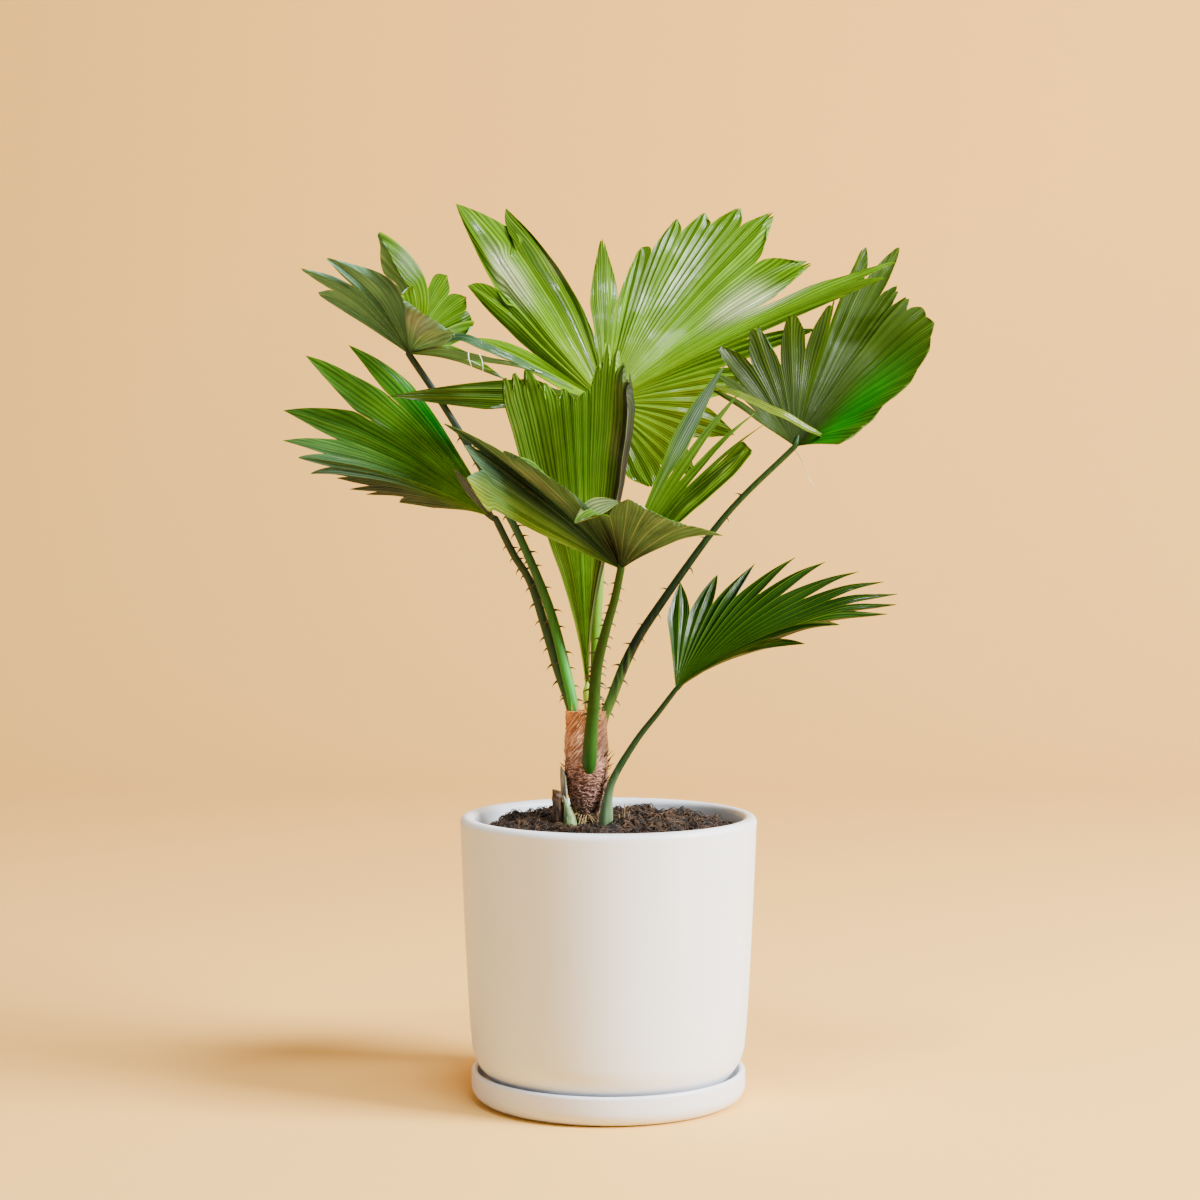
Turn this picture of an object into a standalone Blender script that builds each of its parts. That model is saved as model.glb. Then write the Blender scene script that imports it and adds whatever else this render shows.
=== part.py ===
"""Young Chinese fan palm in a plain ceramic pot that stands on its own saucer.

All lengths below are in millimetres and become metres through MM. The origin is on the pot's
axis at the surface that the saucer stands on, with +Z up and the front of the plant at -Y.
"""
import math
import random
from dataclasses import dataclass, field

import bmesh
import bpy
from mathutils import Matrix, Vector

MM = 0.001
GAP = 0.3
SEED = 12
SHARP_DEGREES = 40

# Saucer
SAUCER_RADIUS = 47.4
SAUCER_HEIGHT = 10.5
SAUCER_WALL = 2.2
SAUCER_FLOOR = 3.0
SAUCER_CORNER = 5.0

# Pot
POT_LIP_RADIUS = 51.2
POT_HEEL_RADIUS = 47.4
POT_HEIGHT = 98.0
POT_WALL = 4.8
POT_CORNER = 18.0
POT_LIP_ROUNDING = 2.2
POT_FLARE_POWER = 0.75
POT_BOTTOM = SAUCER_FLOOR + GAP
DRAIN_HOLE_RADIUS = 5.0
TURNED_STEPS = 36

# Soil
SOIL_EDGE_HEIGHT = 93.6
SOIL_CROWN = 2.8
SOIL_RINGS = 8
SOIL_CRUMB = 0.9
SMOOTH_ZONE = 3.0

# Trunk
TRUNK_X = -7.6
TRUNK_FOOT = 88.0
TRUNK_NECK = 98.0
TRUNK_BELLY = 113.0
TRUNK_TOP = 133.5
TRUNK_NECK_RADIUS = 4.1
TRUNK_BELLY_RADIUS = 7.6
TRUNK_TOP_RADIUS = 6.4
TRUNK_STEPS = 30
TRUNK_ROWS = 22
NET_RELIEF = 0.35
NET_TURNS = 6
NET_PITCH = 7.0
FIBRE_RADIUS = 0.5
FIBRE_CLEARANCE = 3.2

# Small stems beside the trunk, with knots of (x, y, z, radius)
SHEATH_RADIUS = 8.7
SHEATH_SPAN = (178, 203)
SHEATH_FOOT = 90.0
SHEATH_TOP = 114.0
STUB_ROUTE = [(-17.7, -5.2, 89, 1.3), (-17.7, -5.2, 98, 1.3), (-17.8, -5.2, 107.3, 1.2)]
SHOOT_ROUTE = [(-13.4, -6.6, 89, 2.0), (-13.4, -6.6, 98, 1.9), (-14.3, -6.8, 102, 1.0), (-15.0, -7.0, 105, 0.3)]

# Fronds
BLADE_THICKNESS = 0.8
BLADE_ROOT = 1.5
HUB_RADIUS = 2.3
FUSED_ROWS = 3
BLADE_ROWS = 6
SPINE_RADIUS = 0.45
SPINE_LENGTH = 1.9


@dataclass
class Frond:
    """One fan-shaped leaf. Leaflets run clockwise to someone who faces the upper side."""
    stalk: list
    leaflets: list
    splits: list
    arch: tuple = (0, 0, 0.06)
    folds: int = 1
    pleat: float = 0.35
    bluntness: float = 1.7
    bent: dict = field(default_factory=dict)
    root_width: float = 0.0
    spines: tuple = (0.2, 0.9, 8)
    colour: str = "2F6B25"


# The stalk's knots are (x, y, z, radius) from the trunk up to the hub, and each leaflet is its
# tip's (x, y, z) from the hub. A split is the share of the length up to which two neighbours
# are one sheet. The arch lifts a leaflet's middle off its chord, per length.
FRONDS = {
    "frond_upper_left": Frond(
        stalk=[(-11.0, -0.8, 121, 1.7), (-11.7, -0.6, 133, 1.8), (-14.3, 1, 146, 1.9), (-20, 3, 168, 1.7),
               (-28, 4, 188, 1.5), (-36, 5, 204, 1.3), (-55, 7, 236, 1.2), (-69, 8, 257, 1.2)],
        leaflets=[(8, 26, 31), (17, 28, 21), (20, 22, 12), (34, 8, -9), (47, -20, -8), (16, -24, 6),
                  (-1, -24, 18), (-9, -14, 40), (-27, -12, 32), (-36, -8, 29), (-31, -2, 21)],
        splits=[0.8, 0.9, 0.5, 0.4, 0.35, 0.85, 0.6, 0.55, 0.6, 0.7],
        arch=(0, -0.05, 0.05), bluntness=2.4, bent={6: 3.0}, spines=(0.2, 0.85, 14), colour="4B7A3C"),
    "frond_left": Frond(
        stalk=[(-12.0, 3.4, 121, 1.4), (-12.8, 3.7, 133, 1.5), (-17.5, 5, 148, 1.7), (-22, 6, 163, 1.6),
               (-27, 7, 178, 1.4), (-33, 7, 188, 1.3), (-39, 7, 200, 1.2)],
        leaflets=[(-35, 20, 5), (-46, 14, 9), (-51, 6, 11), (-55, 0, 14), (-63, -8, 16), (-67, -10, 21),
                  (-73, -4, 27), (-74, 6, 37), (-66, 22, 56), (-53, 36, 62)],
        splits=[0.7, 0.7, 0.7, 0.75, 0.8, 0.75, 0.65, 0.6, 0.55],
        spines=(0.2, 0.9, 12), colour="2C6128"),
    "frond_back": Frond(
        stalk=[(-5.4, 5.2, 121, 1.8), (-5.2, 5.6, 133, 1.8), (-4.5, 7, 145, 1.8), (-4, 9, 165, 1.8),
               (-2, 13, 203, 1.6), (-1, 16, 240, 1.5)],
        leaflets=[(-74, -22, 2), (-45, 4, 23), (-49, 18, 42), (-54, 34, 73), (-36, 40, 72), (-1, 42, 61),
                  (13, 44, 58), (26, 46, 69), (36, 46, 71), (49, 45, 73), (61, 42, 71), (74, 32, 52),
                  (102, 6, 50), (98, 2, 44), (74, 6, 26), (57, 2, 9), (45, -2, -11), (31, -6, -25),
                  (16, -6, -29)],
        splits=[0.25, 0.5, 0.55, 0.72, 0.32, 0.5, 0.85, 0.88, 0.9, 0.88, 0.8, 0.6, 0.85, 0.55, 0.6, 0.6, 0.65,
                0.8],
        arch=(0, 0.05, 0.03), folds=2, bluntness=2.8, spines=(0.3, 0.9, 8), colour="5E9A22"),
    "frond_young": Frond(
        stalk=[(-6.5, 0.0, 121, 1.7), (-6.6, 0.2, 131, 1.7), (-7, 1, 140, 1.8)],
        leaflets=[(-27, -19, 109), (-24, -12, 106), (-20, -5, 110), (-14, 2, 105), (-8, 6, 100), (-1, 6, 99),
                  (3, 2, 110), (6, -2, 120), (9, -7, 117), (12, -13, 111), (14, -20, 103)],
        splits=[0.9, 0.9, 0.9, 0.88, 0.88, 0.88, 0.88, 0.85, 0.9, 0.9],
        arch=(0, 0.01, 0), folds=2, pleat=0.5, root_width=1.2, spines=(0, 0, 0), colour="55852A"),
    "frond_front": Frond(
        stalk=[(-6.6, -4.4, 111, 1.9), (-6.4, -7.6, 118, 2.3), (-6.0, -10.4, 127, 2.2), (-5, -14, 138, 2.1),
               (-4, -18, 150, 1.9), (-1, -24, 163, 1.6), (2, -29, 174, 1.4), (4, -34, 184, 1.3)],
        leaflets=[(35, 14, 68), (41, 12, 60), (45, 10, 52), (48, 6, 48), (41, 2, 39), (32, -38, 12),
                  (14, -46, 17), (2, -44, 23), (-15, -34, 16), (-17, -22, 27), (-33, -8, 36), (-56, 10, 46),
                  (-58, 6, 43), (-50, 0, 31)],
        splits=[0.55, 0.55, 0.55, 0.5, 0.25, 0.9, 0.95, 0.6, 0.5, 0.92, 0.85, 0.8, 0.82],
        arch=(0, 0, 0.05), bent={8: 5.0}, spines=(0.35, 0.95, 12), colour="5C7A44"),
    "frond_right": Frond(
        stalk=[(-2.4, 0.4, 121, 1.6), (-1.9, 0.6, 130, 1.7), (1, 0, 138, 1.8), (7, 0, 153, 1.7),
               (16, 0, 168, 1.5), (40, 0, 201, 1.1), (64, 0, 225, 1.0)],
        leaflets=[(-29, -14, 19), (-27, -8, 24), (-27, 0, 34), (-14, 5, 42), (-1, 8, 46), (14, 13, 50),
                  (28, 45, 73), (41, 46, 72), (39, 35, 56), (42, 30, 53), (47, 26, 49), (50, 18, 43),
                  (47, 8, 33), (38, -2, 21), (22, -12, 7)],
        splits=[0.45, 0.6, 0.7, 0.6, 0.67, 0.6, 0.75, 0.8, 0.88, 0.92, 0.95, 0.97, 0.95, 0.85],
        arch=(0, 0.04, 0.03), bluntness=3.5, spines=(0.25, 0.9, 8), colour="3A6B20"),
    "frond_low_right": Frond(
        stalk=[(-0.8, -5.4, 88.5, 2.5), (-0.8, -5.4, 98, 2.4), (0.1, -5.3, 106, 1.5), (2.6, -5.4, 113, 1.3),
               (10, -6, 125, 1.1), (17, -7, 134, 1.0), (23, -8, 142, 0.9)],
        leaflets=[(2, 16, 36), (15, 20, 39), (28, 20, 42), (42, 18, 44), (52, 14, 43), (63, 8, 40), (71, 2, 37),
                  (75, -4, 33), (74, -10, 30), (70, -18, 27), (53, -30, 24), (41, -38, 18)],
        splits=[0.7, 0.68, 0.68, 0.68, 0.68, 0.7, 0.78, 0.8, 0.8, 0.77, 0.62],
        arch=(0, 0, 0.08), spines=(0, 0, 0), colour="1F5526"),
}


def clear_scene():
    for old in list(bpy.data.objects):
        bpy.data.objects.remove(old, do_unlink=True)


def make_material(name, hex_colour, roughness):
    """Principled material of one colour, given as an sRGB hex string."""
    material = bpy.data.materials.new(name)
    material.use_nodes = True
    shader = material.node_tree.nodes["Principled BSDF"]
    channels = [int(hex_colour[start:start + 2], 16) / 255 for start in (0, 2, 4)]
    linear = [c / 12.92 if c <= 0.04045 else ((c + 0.055) / 1.055) ** 2.4 for c in channels]
    shader.inputs["Base Color"].default_value = (*linear, 1.0)
    shader.inputs["Roughness"].default_value = roughness
    shader.inputs["Metallic"].default_value = 0.0
    return material


def new_object(name, mesh, collection):
    obj = bpy.data.objects.new(name, mesh)
    collection.objects.link(obj)
    return obj


def new_mesh(name, bm):
    mesh = bpy.data.meshes.new(name)
    bm.to_mesh(mesh)
    bm.free()
    return mesh


def apply_modifiers(obj):
    """Swap an object's mesh for the one that its modifiers make."""
    depsgraph = bpy.context.evaluated_depsgraph_get()
    mesh = bpy.data.meshes.new_from_object(obj.evaluated_get(depsgraph))
    obj.modifiers.clear()
    obj.data = mesh


def finish_piece(obj, hex_colour, roughness):
    """Give a piece its one material, and smooth shading over all but its sharp edges."""
    obj.data.materials.clear()
    obj.data.materials.append(make_material(obj.name, hex_colour, roughness))
    for polygon in obj.data.polygons:
        polygon.material_index = 0
    obj.data.shade_smooth()
    obj.data.set_sharp_from_angle(angle=math.radians(SHARP_DEGREES))


def remove_collection(collection):
    for obj in list(collection.objects):
        bpy.data.objects.remove(obj, do_unlink=True)
    bpy.data.collections.remove(collection)


def fuse(obj, repeats):
    """Join everything in a collection to one object, then drop the collection."""
    union = obj.modifiers.new("join repeats", "BOOLEAN")
    union.operation = "UNION"
    union.operand_type = "COLLECTION"
    union.collection = repeats
    union.solver = "MANIFOLD"
    apply_modifiers(obj)
    remove_collection(repeats)


def cut_away(obj, cutters):
    """Cut everything in a collection out of one object."""
    cut = obj.modifiers.new("sockets", "BOOLEAN")
    cut.operation = "DIFFERENCE"
    cut.operand_type = "COLLECTION"
    cut.collection = cutters
    cut.solver = "MANIFOLD"


def hide_cutter(obj):
    obj.hide_render = True
    obj.display_type = "WIRE"


def arc(centre, radius, first_degrees, last_degrees, steps):
    """Points along an arc in the (radius, height) plane of a turned profile."""
    points = []
    for step in range(steps + 1):
        angle = math.radians(first_degrees + (last_degrees - first_degrees) * step / steps)
        points.append((centre[0] + radius * math.cos(angle), centre[1] + radius * math.sin(angle)))
    return points


def turned_object(name, profile, closed, collection):
    """Turn a profile about Z. Its points run down the outer side."""
    bm = bmesh.new()
    corners = [bm.verts.new((radius * MM, 0.0, height * MM)) for radius, height in profile]
    for upper, lower in zip(corners, corners[1:]):
        bm.edges.new((upper, lower))
    if closed:
        bm.edges.new((corners[-1], corners[0]))
    obj = new_object(name, new_mesh(name, bm), collection)
    screw = obj.modifiers.new("turn", "SCREW")
    screw.steps = TURNED_STEPS
    screw.render_steps = TURNED_STEPS
    screw.use_merge_vertices = True
    screw.merge_threshold = 0.00001
    return obj


def pot_radius(height):
    """Outer radius of the pot's wall, which flares quickly at the heel and slowly at the lip."""
    heel = POT_BOTTOM + POT_CORNER
    share = max(0.0, (height - heel) / (POT_HEIGHT - heel))
    return POT_HEEL_RADIUS + (POT_LIP_RADIUS - POT_HEEL_RADIUS) * share ** POT_FLARE_POWER


def pot_side(inset, top):
    """The pot's outline from a height down to the flat of its bottom, moved in by an inset."""
    heel = POT_BOTTOM + POT_CORNER
    heights = [top + (heel - top) * step / 4 for step in range(4)]
    wall = [(pot_radius(height) - inset, height) for height in heights]
    corner_centre = (POT_HEEL_RADIUS - POT_CORNER, heel)
    return wall + arc(corner_centre, POT_CORNER - inset, 0, -90, 4)


def build_saucer(parts):
    lip = SAUCER_WALL / 2
    inner_corner = SAUCER_CORNER + SAUCER_WALL / 2
    inner_radius = SAUCER_RADIUS - SAUCER_WALL
    profile = [(0, SAUCER_FLOOR)]
    profile += arc((inner_radius - inner_corner, SAUCER_FLOOR + inner_corner), inner_corner, -90, 0, 3)
    profile += arc((SAUCER_RADIUS - lip, SAUCER_HEIGHT - lip), lip, 180, 0, 4)
    profile += arc((SAUCER_RADIUS - SAUCER_CORNER, SAUCER_CORNER), SAUCER_CORNER, 0, -90, 4)
    profile.append((0, 0))
    saucer = turned_object("saucer", profile, False, parts)
    apply_modifiers(saucer)
    finish_piece(saucer, "E3E3EA", 0.45)


def build_pot(parts):
    """Thick-walled pot with a round lip and a drain hole in the middle of its floor."""
    rounding = POT_LIP_ROUNDING
    lip_centre = POT_HEIGHT - rounding
    inner_lip = POT_LIP_RADIUS - POT_WALL
    profile = arc((POT_LIP_RADIUS - rounding, lip_centre), rounding, 90, 0, 3)
    profile += pot_side(0, POT_HEIGHT - 2 * rounding)
    profile.append((DRAIN_HOLE_RADIUS, POT_BOTTOM))
    profile.append((DRAIN_HOLE_RADIUS, POT_BOTTOM + POT_WALL))
    profile += reversed(pot_side(POT_WALL, POT_HEIGHT - 2 * rounding))
    profile += arc((inner_lip + rounding, lip_centre), rounding, 180, 90, 3)
    pot = turned_object("pot", profile, True, parts)
    apply_modifiers(pot)
    finish_piece(pot, "E9E7EC", 0.5)


def soil_height(radius):
    share = radius / (POT_LIP_RADIUS - POT_WALL)
    return SOIL_EDGE_HEIGHT + SOIL_CROWN * (1 - share * share)


def build_soil(parts, cutters, stems):
    """Crumbly mound that fills the pot, with a plain hole for each stem that stands in it."""
    side = pot_side(POT_WALL + GAP, SOIL_EDGE_HEIGHT)
    edge = side[0][0]
    rings = [edge * ring / SOIL_RINGS for ring in range(SOIL_RINGS)]
    profile = [(radius, soil_height(radius)) for radius in rings] + side
    profile.append((0, side[-1][1]))
    soil = turned_object("soil", profile, False, parts)
    apply_modifiers(soil)
    chance = random.Random(SEED)
    for vertex in soil.data.vertices:
        radius = vertex.co.xy.length / MM
        near_stem = min((vertex.co.xy / MM - Vector(centre)).length - reach for centre, reach in stems)
        if vertex.co.z / MM > SOIL_EDGE_HEIGHT + 0.1 and radius < edge - 1 and near_stem > SMOOTH_ZONE:
            vertex.co.z += chance.uniform(-1, 1) * SOIL_CRUMB * MM
    cut_away(soil, cutters)
    finish_piece(soil, "3E261B", 0.95)


def round_cutter(name, centre, radius, low, high, collection):
    bm = bmesh.new()
    place = Matrix.Translation(Vector((*centre, (low + high) / 2)) * MM)
    bmesh.ops.create_cone(bm, cap_ends=True, segments=18, radius1=radius * MM, radius2=radius * MM,
                          depth=(high - low) * MM, matrix=place)
    hide_cutter(new_object(name, new_mesh(name, bm), collection))


def smooth_route(knots, steps):
    """Catmull-Rom curve through (x, y, z, radius) knots."""
    knots = [Vector(knot) for knot in knots]
    padded = [knots[0] * 2 - knots[1], *knots, knots[-1] * 2 - knots[-2]]
    route = []
    for before, start, end, after in zip(padded, padded[1:], padded[2:], padded[3:]):
        for step in range(steps):
            t = step / steps
            bend = start * 2 + (end - before) * t
            bend += (before * 2 - start * 5 + end * 4 - after) * t ** 2
            bend += (start * 3 - before - end * 3 + after) * t ** 3
            route.append(bend / 2)
    route.append(knots[-1])
    return route


def tube_object(name, route, extra_radius, collection):
    """Round rod along a route, as a closed mesh. The extra radius makes a socket's cutter."""
    curve = bpy.data.curves.new(name, "CURVE")
    curve.dimensions = "3D"
    curve.bevel_depth = MM
    curve.bevel_resolution = 1
    curve.use_fill_caps = True
    spline = curve.splines.new("POLY")
    spline.points.add(len(route) - 1)
    for point, knot in zip(spline.points, route):
        point.co = (*(knot.xyz * MM), 1.0)
        point.radius = knot.w + extra_radius
    curve_object = new_object(name + "_curve", curve, collection)
    depsgraph = bpy.context.evaluated_depsgraph_get()
    mesh = bpy.data.meshes.new_from_object(curve_object.evaluated_get(depsgraph))
    bpy.data.objects.remove(curve_object, do_unlink=True)
    bm = bmesh.new()
    bm.from_mesh(mesh)
    bmesh.ops.remove_doubles(bm, verts=bm.verts, dist=0.00001)
    bm.to_mesh(mesh)
    bm.free()
    return new_object(name, mesh, collection)


def midrib(frond, index, share):
    """Point on a leaflet's midrib at a share of its length, as an offset from the hub."""
    tip = Vector(frond.leaflets[index])
    rise = Vector(frond.arch) * tip.length * frond.bent.get(index, 1.0)
    crest = tip / 2 + rise * 2
    root = Vector((frond.root_width * (index / (len(frond.leaflets) - 1) - 0.5), 0, 0))
    return root * (1 - share) + crest * 2 * share * (1 - share) + tip * share ** 2


def seam(frond, index, share):
    """Point where a leaflet meets the next one. The fan's own two edges mirror the nearest seam."""
    last = len(frond.leaflets) - 1
    if index < 0:
        return midrib(frond, 0, share) * 2 - seam(frond, 0, share)
    if index >= last:
        return midrib(frond, last, share) * 2 - seam(frond, last - 1, share)
    return (midrib(frond, index, share) + midrib(frond, index + 1, share)) / 2


def seam_span(frond, index):
    """Shares of the length at which a seam leaves the hub and at which it opens."""
    index = min(max(index, 0), len(frond.leaflets) - 2)
    lengths = Vector(frond.leaflets[index]).length + Vector(frond.leaflets[index + 1]).length
    return 2 * BLADE_ROOT / lengths, frond.splits[index]


def upward(frond, index, share):
    """Unit normal of the sheet's upper side at a leaflet's midrib."""
    step = 0.02
    along = midrib(frond, index, share + step) - midrib(frond, index, share - step)
    across = seam(frond, index, share) - seam(frond, index - 1, share)
    return across.cross(along).normalized()


def seam_upward(frond, index, share):
    last = len(frond.leaflets) - 1
    one = upward(frond, min(max(index, 0), last), share)
    other = upward(frond, min(max(index + 1, 0), last), share)
    return (one + other).normalized()


def pleat_height(frond, index, share):
    width = (seam(frond, index, share) - seam(frond, index - 1, share)).length
    return frond.pleat * width / (4 * frond.folds)


def seam_pleat_height(frond, index, share):
    last = len(frond.leaflets) - 1
    one = pleat_height(frond, min(max(index, 0), last), share)
    other = pleat_height(frond, min(max(index + 1, 0), last), share)
    return (one + other) / 2


def leaflet_point(frond, index, column, row):
    """Point of the pleated sheet, in millimetres from the hub."""
    side_step = 2 * column / (2 * frond.folds) - 1
    side = index - 1 if side_step < 0 else index
    aside = abs(side_step)
    left_span = seam_span(frond, index - 1)
    right_span = seam_span(frond, index)
    side_span = left_span if side_step < 0 else right_span
    start, opening = [(one + other) / 2 * (1 - aside) + here * aside
                      for one, other, here in zip(left_span, right_span, side_span)]
    free = max(0.0, (row - FUSED_ROWS) / (BLADE_ROWS - FUSED_ROWS))
    joined = min(1.0, row / FUSED_ROWS)
    share = start + (opening - start) * joined + (1 - opening) * free
    level = min(share, opening)
    spread = aside * (1 - free ** frond.bluntness)
    point = midrib(frond, index, share)
    point += (seam(frond, side, level) - midrib(frond, index, level)) * spread
    up = upward(frond, index, share).lerp(seam_upward(frond, side, share), aside)
    height = pleat_height(frond, index, level) * (1 - aside) + seam_pleat_height(frond, side, level) * aside
    sign = 1 if column % 2 == 0 else -1
    return point + up.normalized() * sign * height * (1 - free ** frond.bluntness)


def blade_object(name, frond, hub, collection):
    """Thin pleated fan: a welded grid for each leaflet, split into triangles and thickened."""
    columns = 2 * frond.folds
    sheet = bmesh.new()
    for index in range(len(frond.leaflets)):
        grid = bmesh.ops.create_grid(sheet, x_segments=columns, y_segments=BLADE_ROWS, size=1.0)
        for vertex in grid["verts"]:
            column = round((vertex.co.x + 1) / 2 * columns)
            row = round((vertex.co.y + 1) / 2 * BLADE_ROWS)
            vertex.co = (hub + leaflet_point(frond, index, column, row)) * MM
    bmesh.ops.remove_doubles(sheet, verts=sheet.verts, dist=0.000002)
    bmesh.ops.triangulate(sheet, faces=sheet.faces)
    blade = new_object(name, new_mesh(name, sheet), collection)
    solidify = blade.modifiers.new("thickness", "SOLIDIFY")
    solidify.thickness = BLADE_THICKNESS * MM
    solidify.offset = 0.0
    apply_modifiers(blade)
    return blade


def hub_object(name, frond, hub, collection):
    """Short seven-sided boss that faces the way the fan does and joins it to the stalk."""
    facing = sum((upward(frond, index, 0.1) for index in range(len(frond.leaflets))), Vector())
    place = Matrix.Translation(hub * MM) @ facing.to_track_quat("Z", "Y").to_matrix().to_4x4()
    bm = bmesh.new()
    bmesh.ops.create_cone(bm, cap_ends=True, segments=7, radius1=HUB_RADIUS * MM, radius2=HUB_RADIUS * MM,
                          depth=2 * HUB_RADIUS * MM, matrix=place)
    return new_object(name, new_mesh(name, bm), collection)


def spines_object(name, frond, route, collection):
    """Hooked spines in pairs along the two margins of a stalk, pointing back towards its foot."""
    first, last, count = frond.spines
    bm = bmesh.new()
    chance = random.Random(SEED + len(route))
    for number in range(count):
        place = (first + (last - first) * number / (count - 1)) * (len(route) - 1)
        for margin in (-1, 1):
            spot = min(place + chance.uniform(-0.2, 0.2), len(route) - 2)
            knot = route[int(spot)].lerp(route[int(spot) + 1], spot - int(spot))
            along = (route[int(spot) + 1] - route[int(spot)]).xyz.normalized()
            outward = along.cross(Vector((0, 1, 0))).normalized() * margin
            aim = (outward - along * 0.6).normalized()
            root = knot.xyz + outward * (knot.w - 0.5)
            length = SPINE_LENGTH * chance.uniform(0.8, 1.1)
            turn = aim.to_track_quat("Z", "Y").to_matrix().to_4x4()
            place_matrix = Matrix.Translation((root + aim * length / 2) * MM) @ turn
            bmesh.ops.create_cone(bm, cap_ends=True, segments=3, radius1=SPINE_RADIUS * MM, radius2=0.0,
                                  depth=length * MM, matrix=place_matrix)
    return new_object(name, new_mesh(name, bm), collection)


def build_frond(name, frond, parts):
    """Stalk, hub, pleated fan and spines of one leaf, fused into one body."""
    route = smooth_route(frond.stalk, 2)
    hub = route[-1].xyz
    stalk = tube_object(name, route, 0.0, parts)
    pieces = bpy.data.collections.new(name + "_pieces")
    bpy.context.scene.collection.children.link(pieces)
    hub_object(name + "_hub", frond, hub, pieces)
    blade_object(name + "_blade", frond, hub, pieces)
    if frond.spines[2]:
        spines_object(name + "_spines", frond, route, pieces)
    fuse(stalk, pieces)
    finish_piece(stalk, frond.colour, 0.45)


def stalk_socket(name, frond, collection):
    """Cutter that follows a stalk with a gap all round and under its foot."""
    route = smooth_route(frond.stalk, 2)
    foot = route[0] - (route[1] - route[0]).normalized() * GAP
    foot.w = route[0].w
    hide_cutter(tube_object(name + "_socket", [foot, *route], GAP, collection))


def trunk_radius(height):
    """Radius of the fibrous bulb: a narrow neck in the soil, a round belly and a slimmer top."""
    if height <= TRUNK_NECK:
        return TRUNK_NECK_RADIUS
    if height <= TRUNK_BELLY:
        rise = (height - TRUNK_NECK) / (TRUNK_BELLY - TRUNK_NECK)
        return TRUNK_NECK_RADIUS + (TRUNK_BELLY_RADIUS - TRUNK_NECK_RADIUS) * math.sin(rise * math.pi / 2)
    fall = min(1.0, (height - TRUNK_BELLY) / 9)
    return TRUNK_BELLY_RADIUS + (TRUNK_TOP_RADIUS - TRUNK_BELLY_RADIUS) * (1 - math.cos(fall * math.pi)) / 2


def trunk_point(angle, height):
    """Point of the woven surface, with a net of raised threads and a lobe for each stalk base."""
    radius = trunk_radius(height)
    woven = min(1.0, max(0.0, (height - TRUNK_NECK - 1) / 3))
    rising = math.cos(NET_TURNS * angle + height * math.tau / NET_PITCH)
    falling = math.cos(NET_TURNS * angle - height * math.tau / NET_PITCH)
    radius += woven * NET_RELIEF * (max(rising, falling) - 0.5)
    upper = min(1.0, max(0.0, (height - 118) / 8))
    left_lobe = math.exp(-((angle - math.pi) / 0.7) ** 2)
    right_lobe = math.exp(-(math.remainder(angle, math.tau) / 0.5) ** 2)
    radius += upper * (1.0 * left_lobe + 0.9 * right_lobe)
    return Vector((TRUNK_X + radius * math.cos(angle), radius * math.sin(angle), height))


def near_stalk(point):
    """Whether a point lies within a fibre's clearance of any stalk."""
    for frond in FRONDS.values():
        for knot in smooth_route(frond.stalk, 4):
            if (knot.xyz - point).length < knot.w + FIBRE_CLEARANCE:
                return True
    return False


def trunk_fibres(name, collection):
    """Ragged fibre tips that stand off the bulb in a ring and round its top, clear of the stalks."""
    bm = bmesh.new()
    chance = random.Random(SEED)
    for base_height, count, length, lean in ((114.5, 16, 4.5, 0.9), (130.5, 12, 4.0, 0.35)):
        for number in range(count):
            angle = math.tau * (number + chance.uniform(0.2, 0.8)) / count
            height = base_height + chance.uniform(-1.5, 1.5)
            outward = Vector((math.cos(angle), math.sin(angle), 0))
            aim = (outward * lean + Vector((0, 0, 1))).normalized()
            root = trunk_point(angle, height) - outward * 1.2
            reach = length * chance.uniform(0.8, 1.2)
            if near_stalk(root + aim * reach) or near_stalk(root + aim * reach / 2):
                continue
            turn = aim.to_track_quat("Z", "Y").to_matrix().to_4x4()
            place = Matrix.Translation((root + aim * reach / 2) * MM) @ turn
            bmesh.ops.create_cone(bm, cap_ends=True, segments=3, radius1=FIBRE_RADIUS * MM, radius2=0.0,
                                  depth=reach * MM, matrix=place)
    return new_object(name, new_mesh(name, bm), collection)


def build_trunk(parts, cutters):
    """Woven bulb with fibre tips, and a socket for each stalk that grows out of it."""
    heights = [TRUNK_FOOT]
    heights += [TRUNK_NECK + (TRUNK_TOP - TRUNK_NECK) * row / TRUNK_ROWS for row in range(TRUNK_ROWS + 1)]
    bm = bmesh.new()
    bmesh.ops.create_grid(bm, x_segments=TRUNK_STEPS, y_segments=len(heights) - 1, size=1.0)
    for vertex in bm.verts:
        angle = (vertex.co.x + 1) * math.pi
        row = round((vertex.co.y + 1) / 2 * (len(heights) - 1))
        vertex.co = trunk_point(angle, heights[row]) * MM
    bmesh.ops.remove_doubles(bm, verts=bm.verts, dist=0.000002)
    bmesh.ops.holes_fill(bm, edges=[edge for edge in bm.edges if edge.is_boundary])
    bmesh.ops.triangulate(bm, faces=bm.faces)
    bmesh.ops.recalc_face_normals(bm, faces=bm.faces)
    trunk = new_object("trunk", new_mesh("trunk", bm), parts)
    fibres = bpy.data.collections.new("trunk_fibres")
    bpy.context.scene.collection.children.link(fibres)
    trunk_fibres("trunk_fibre_tips", fibres)
    fuse(trunk, fibres)
    cut_away(trunk, cutters)
    finish_piece(trunk, "7A4A33", 0.9)


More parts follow.
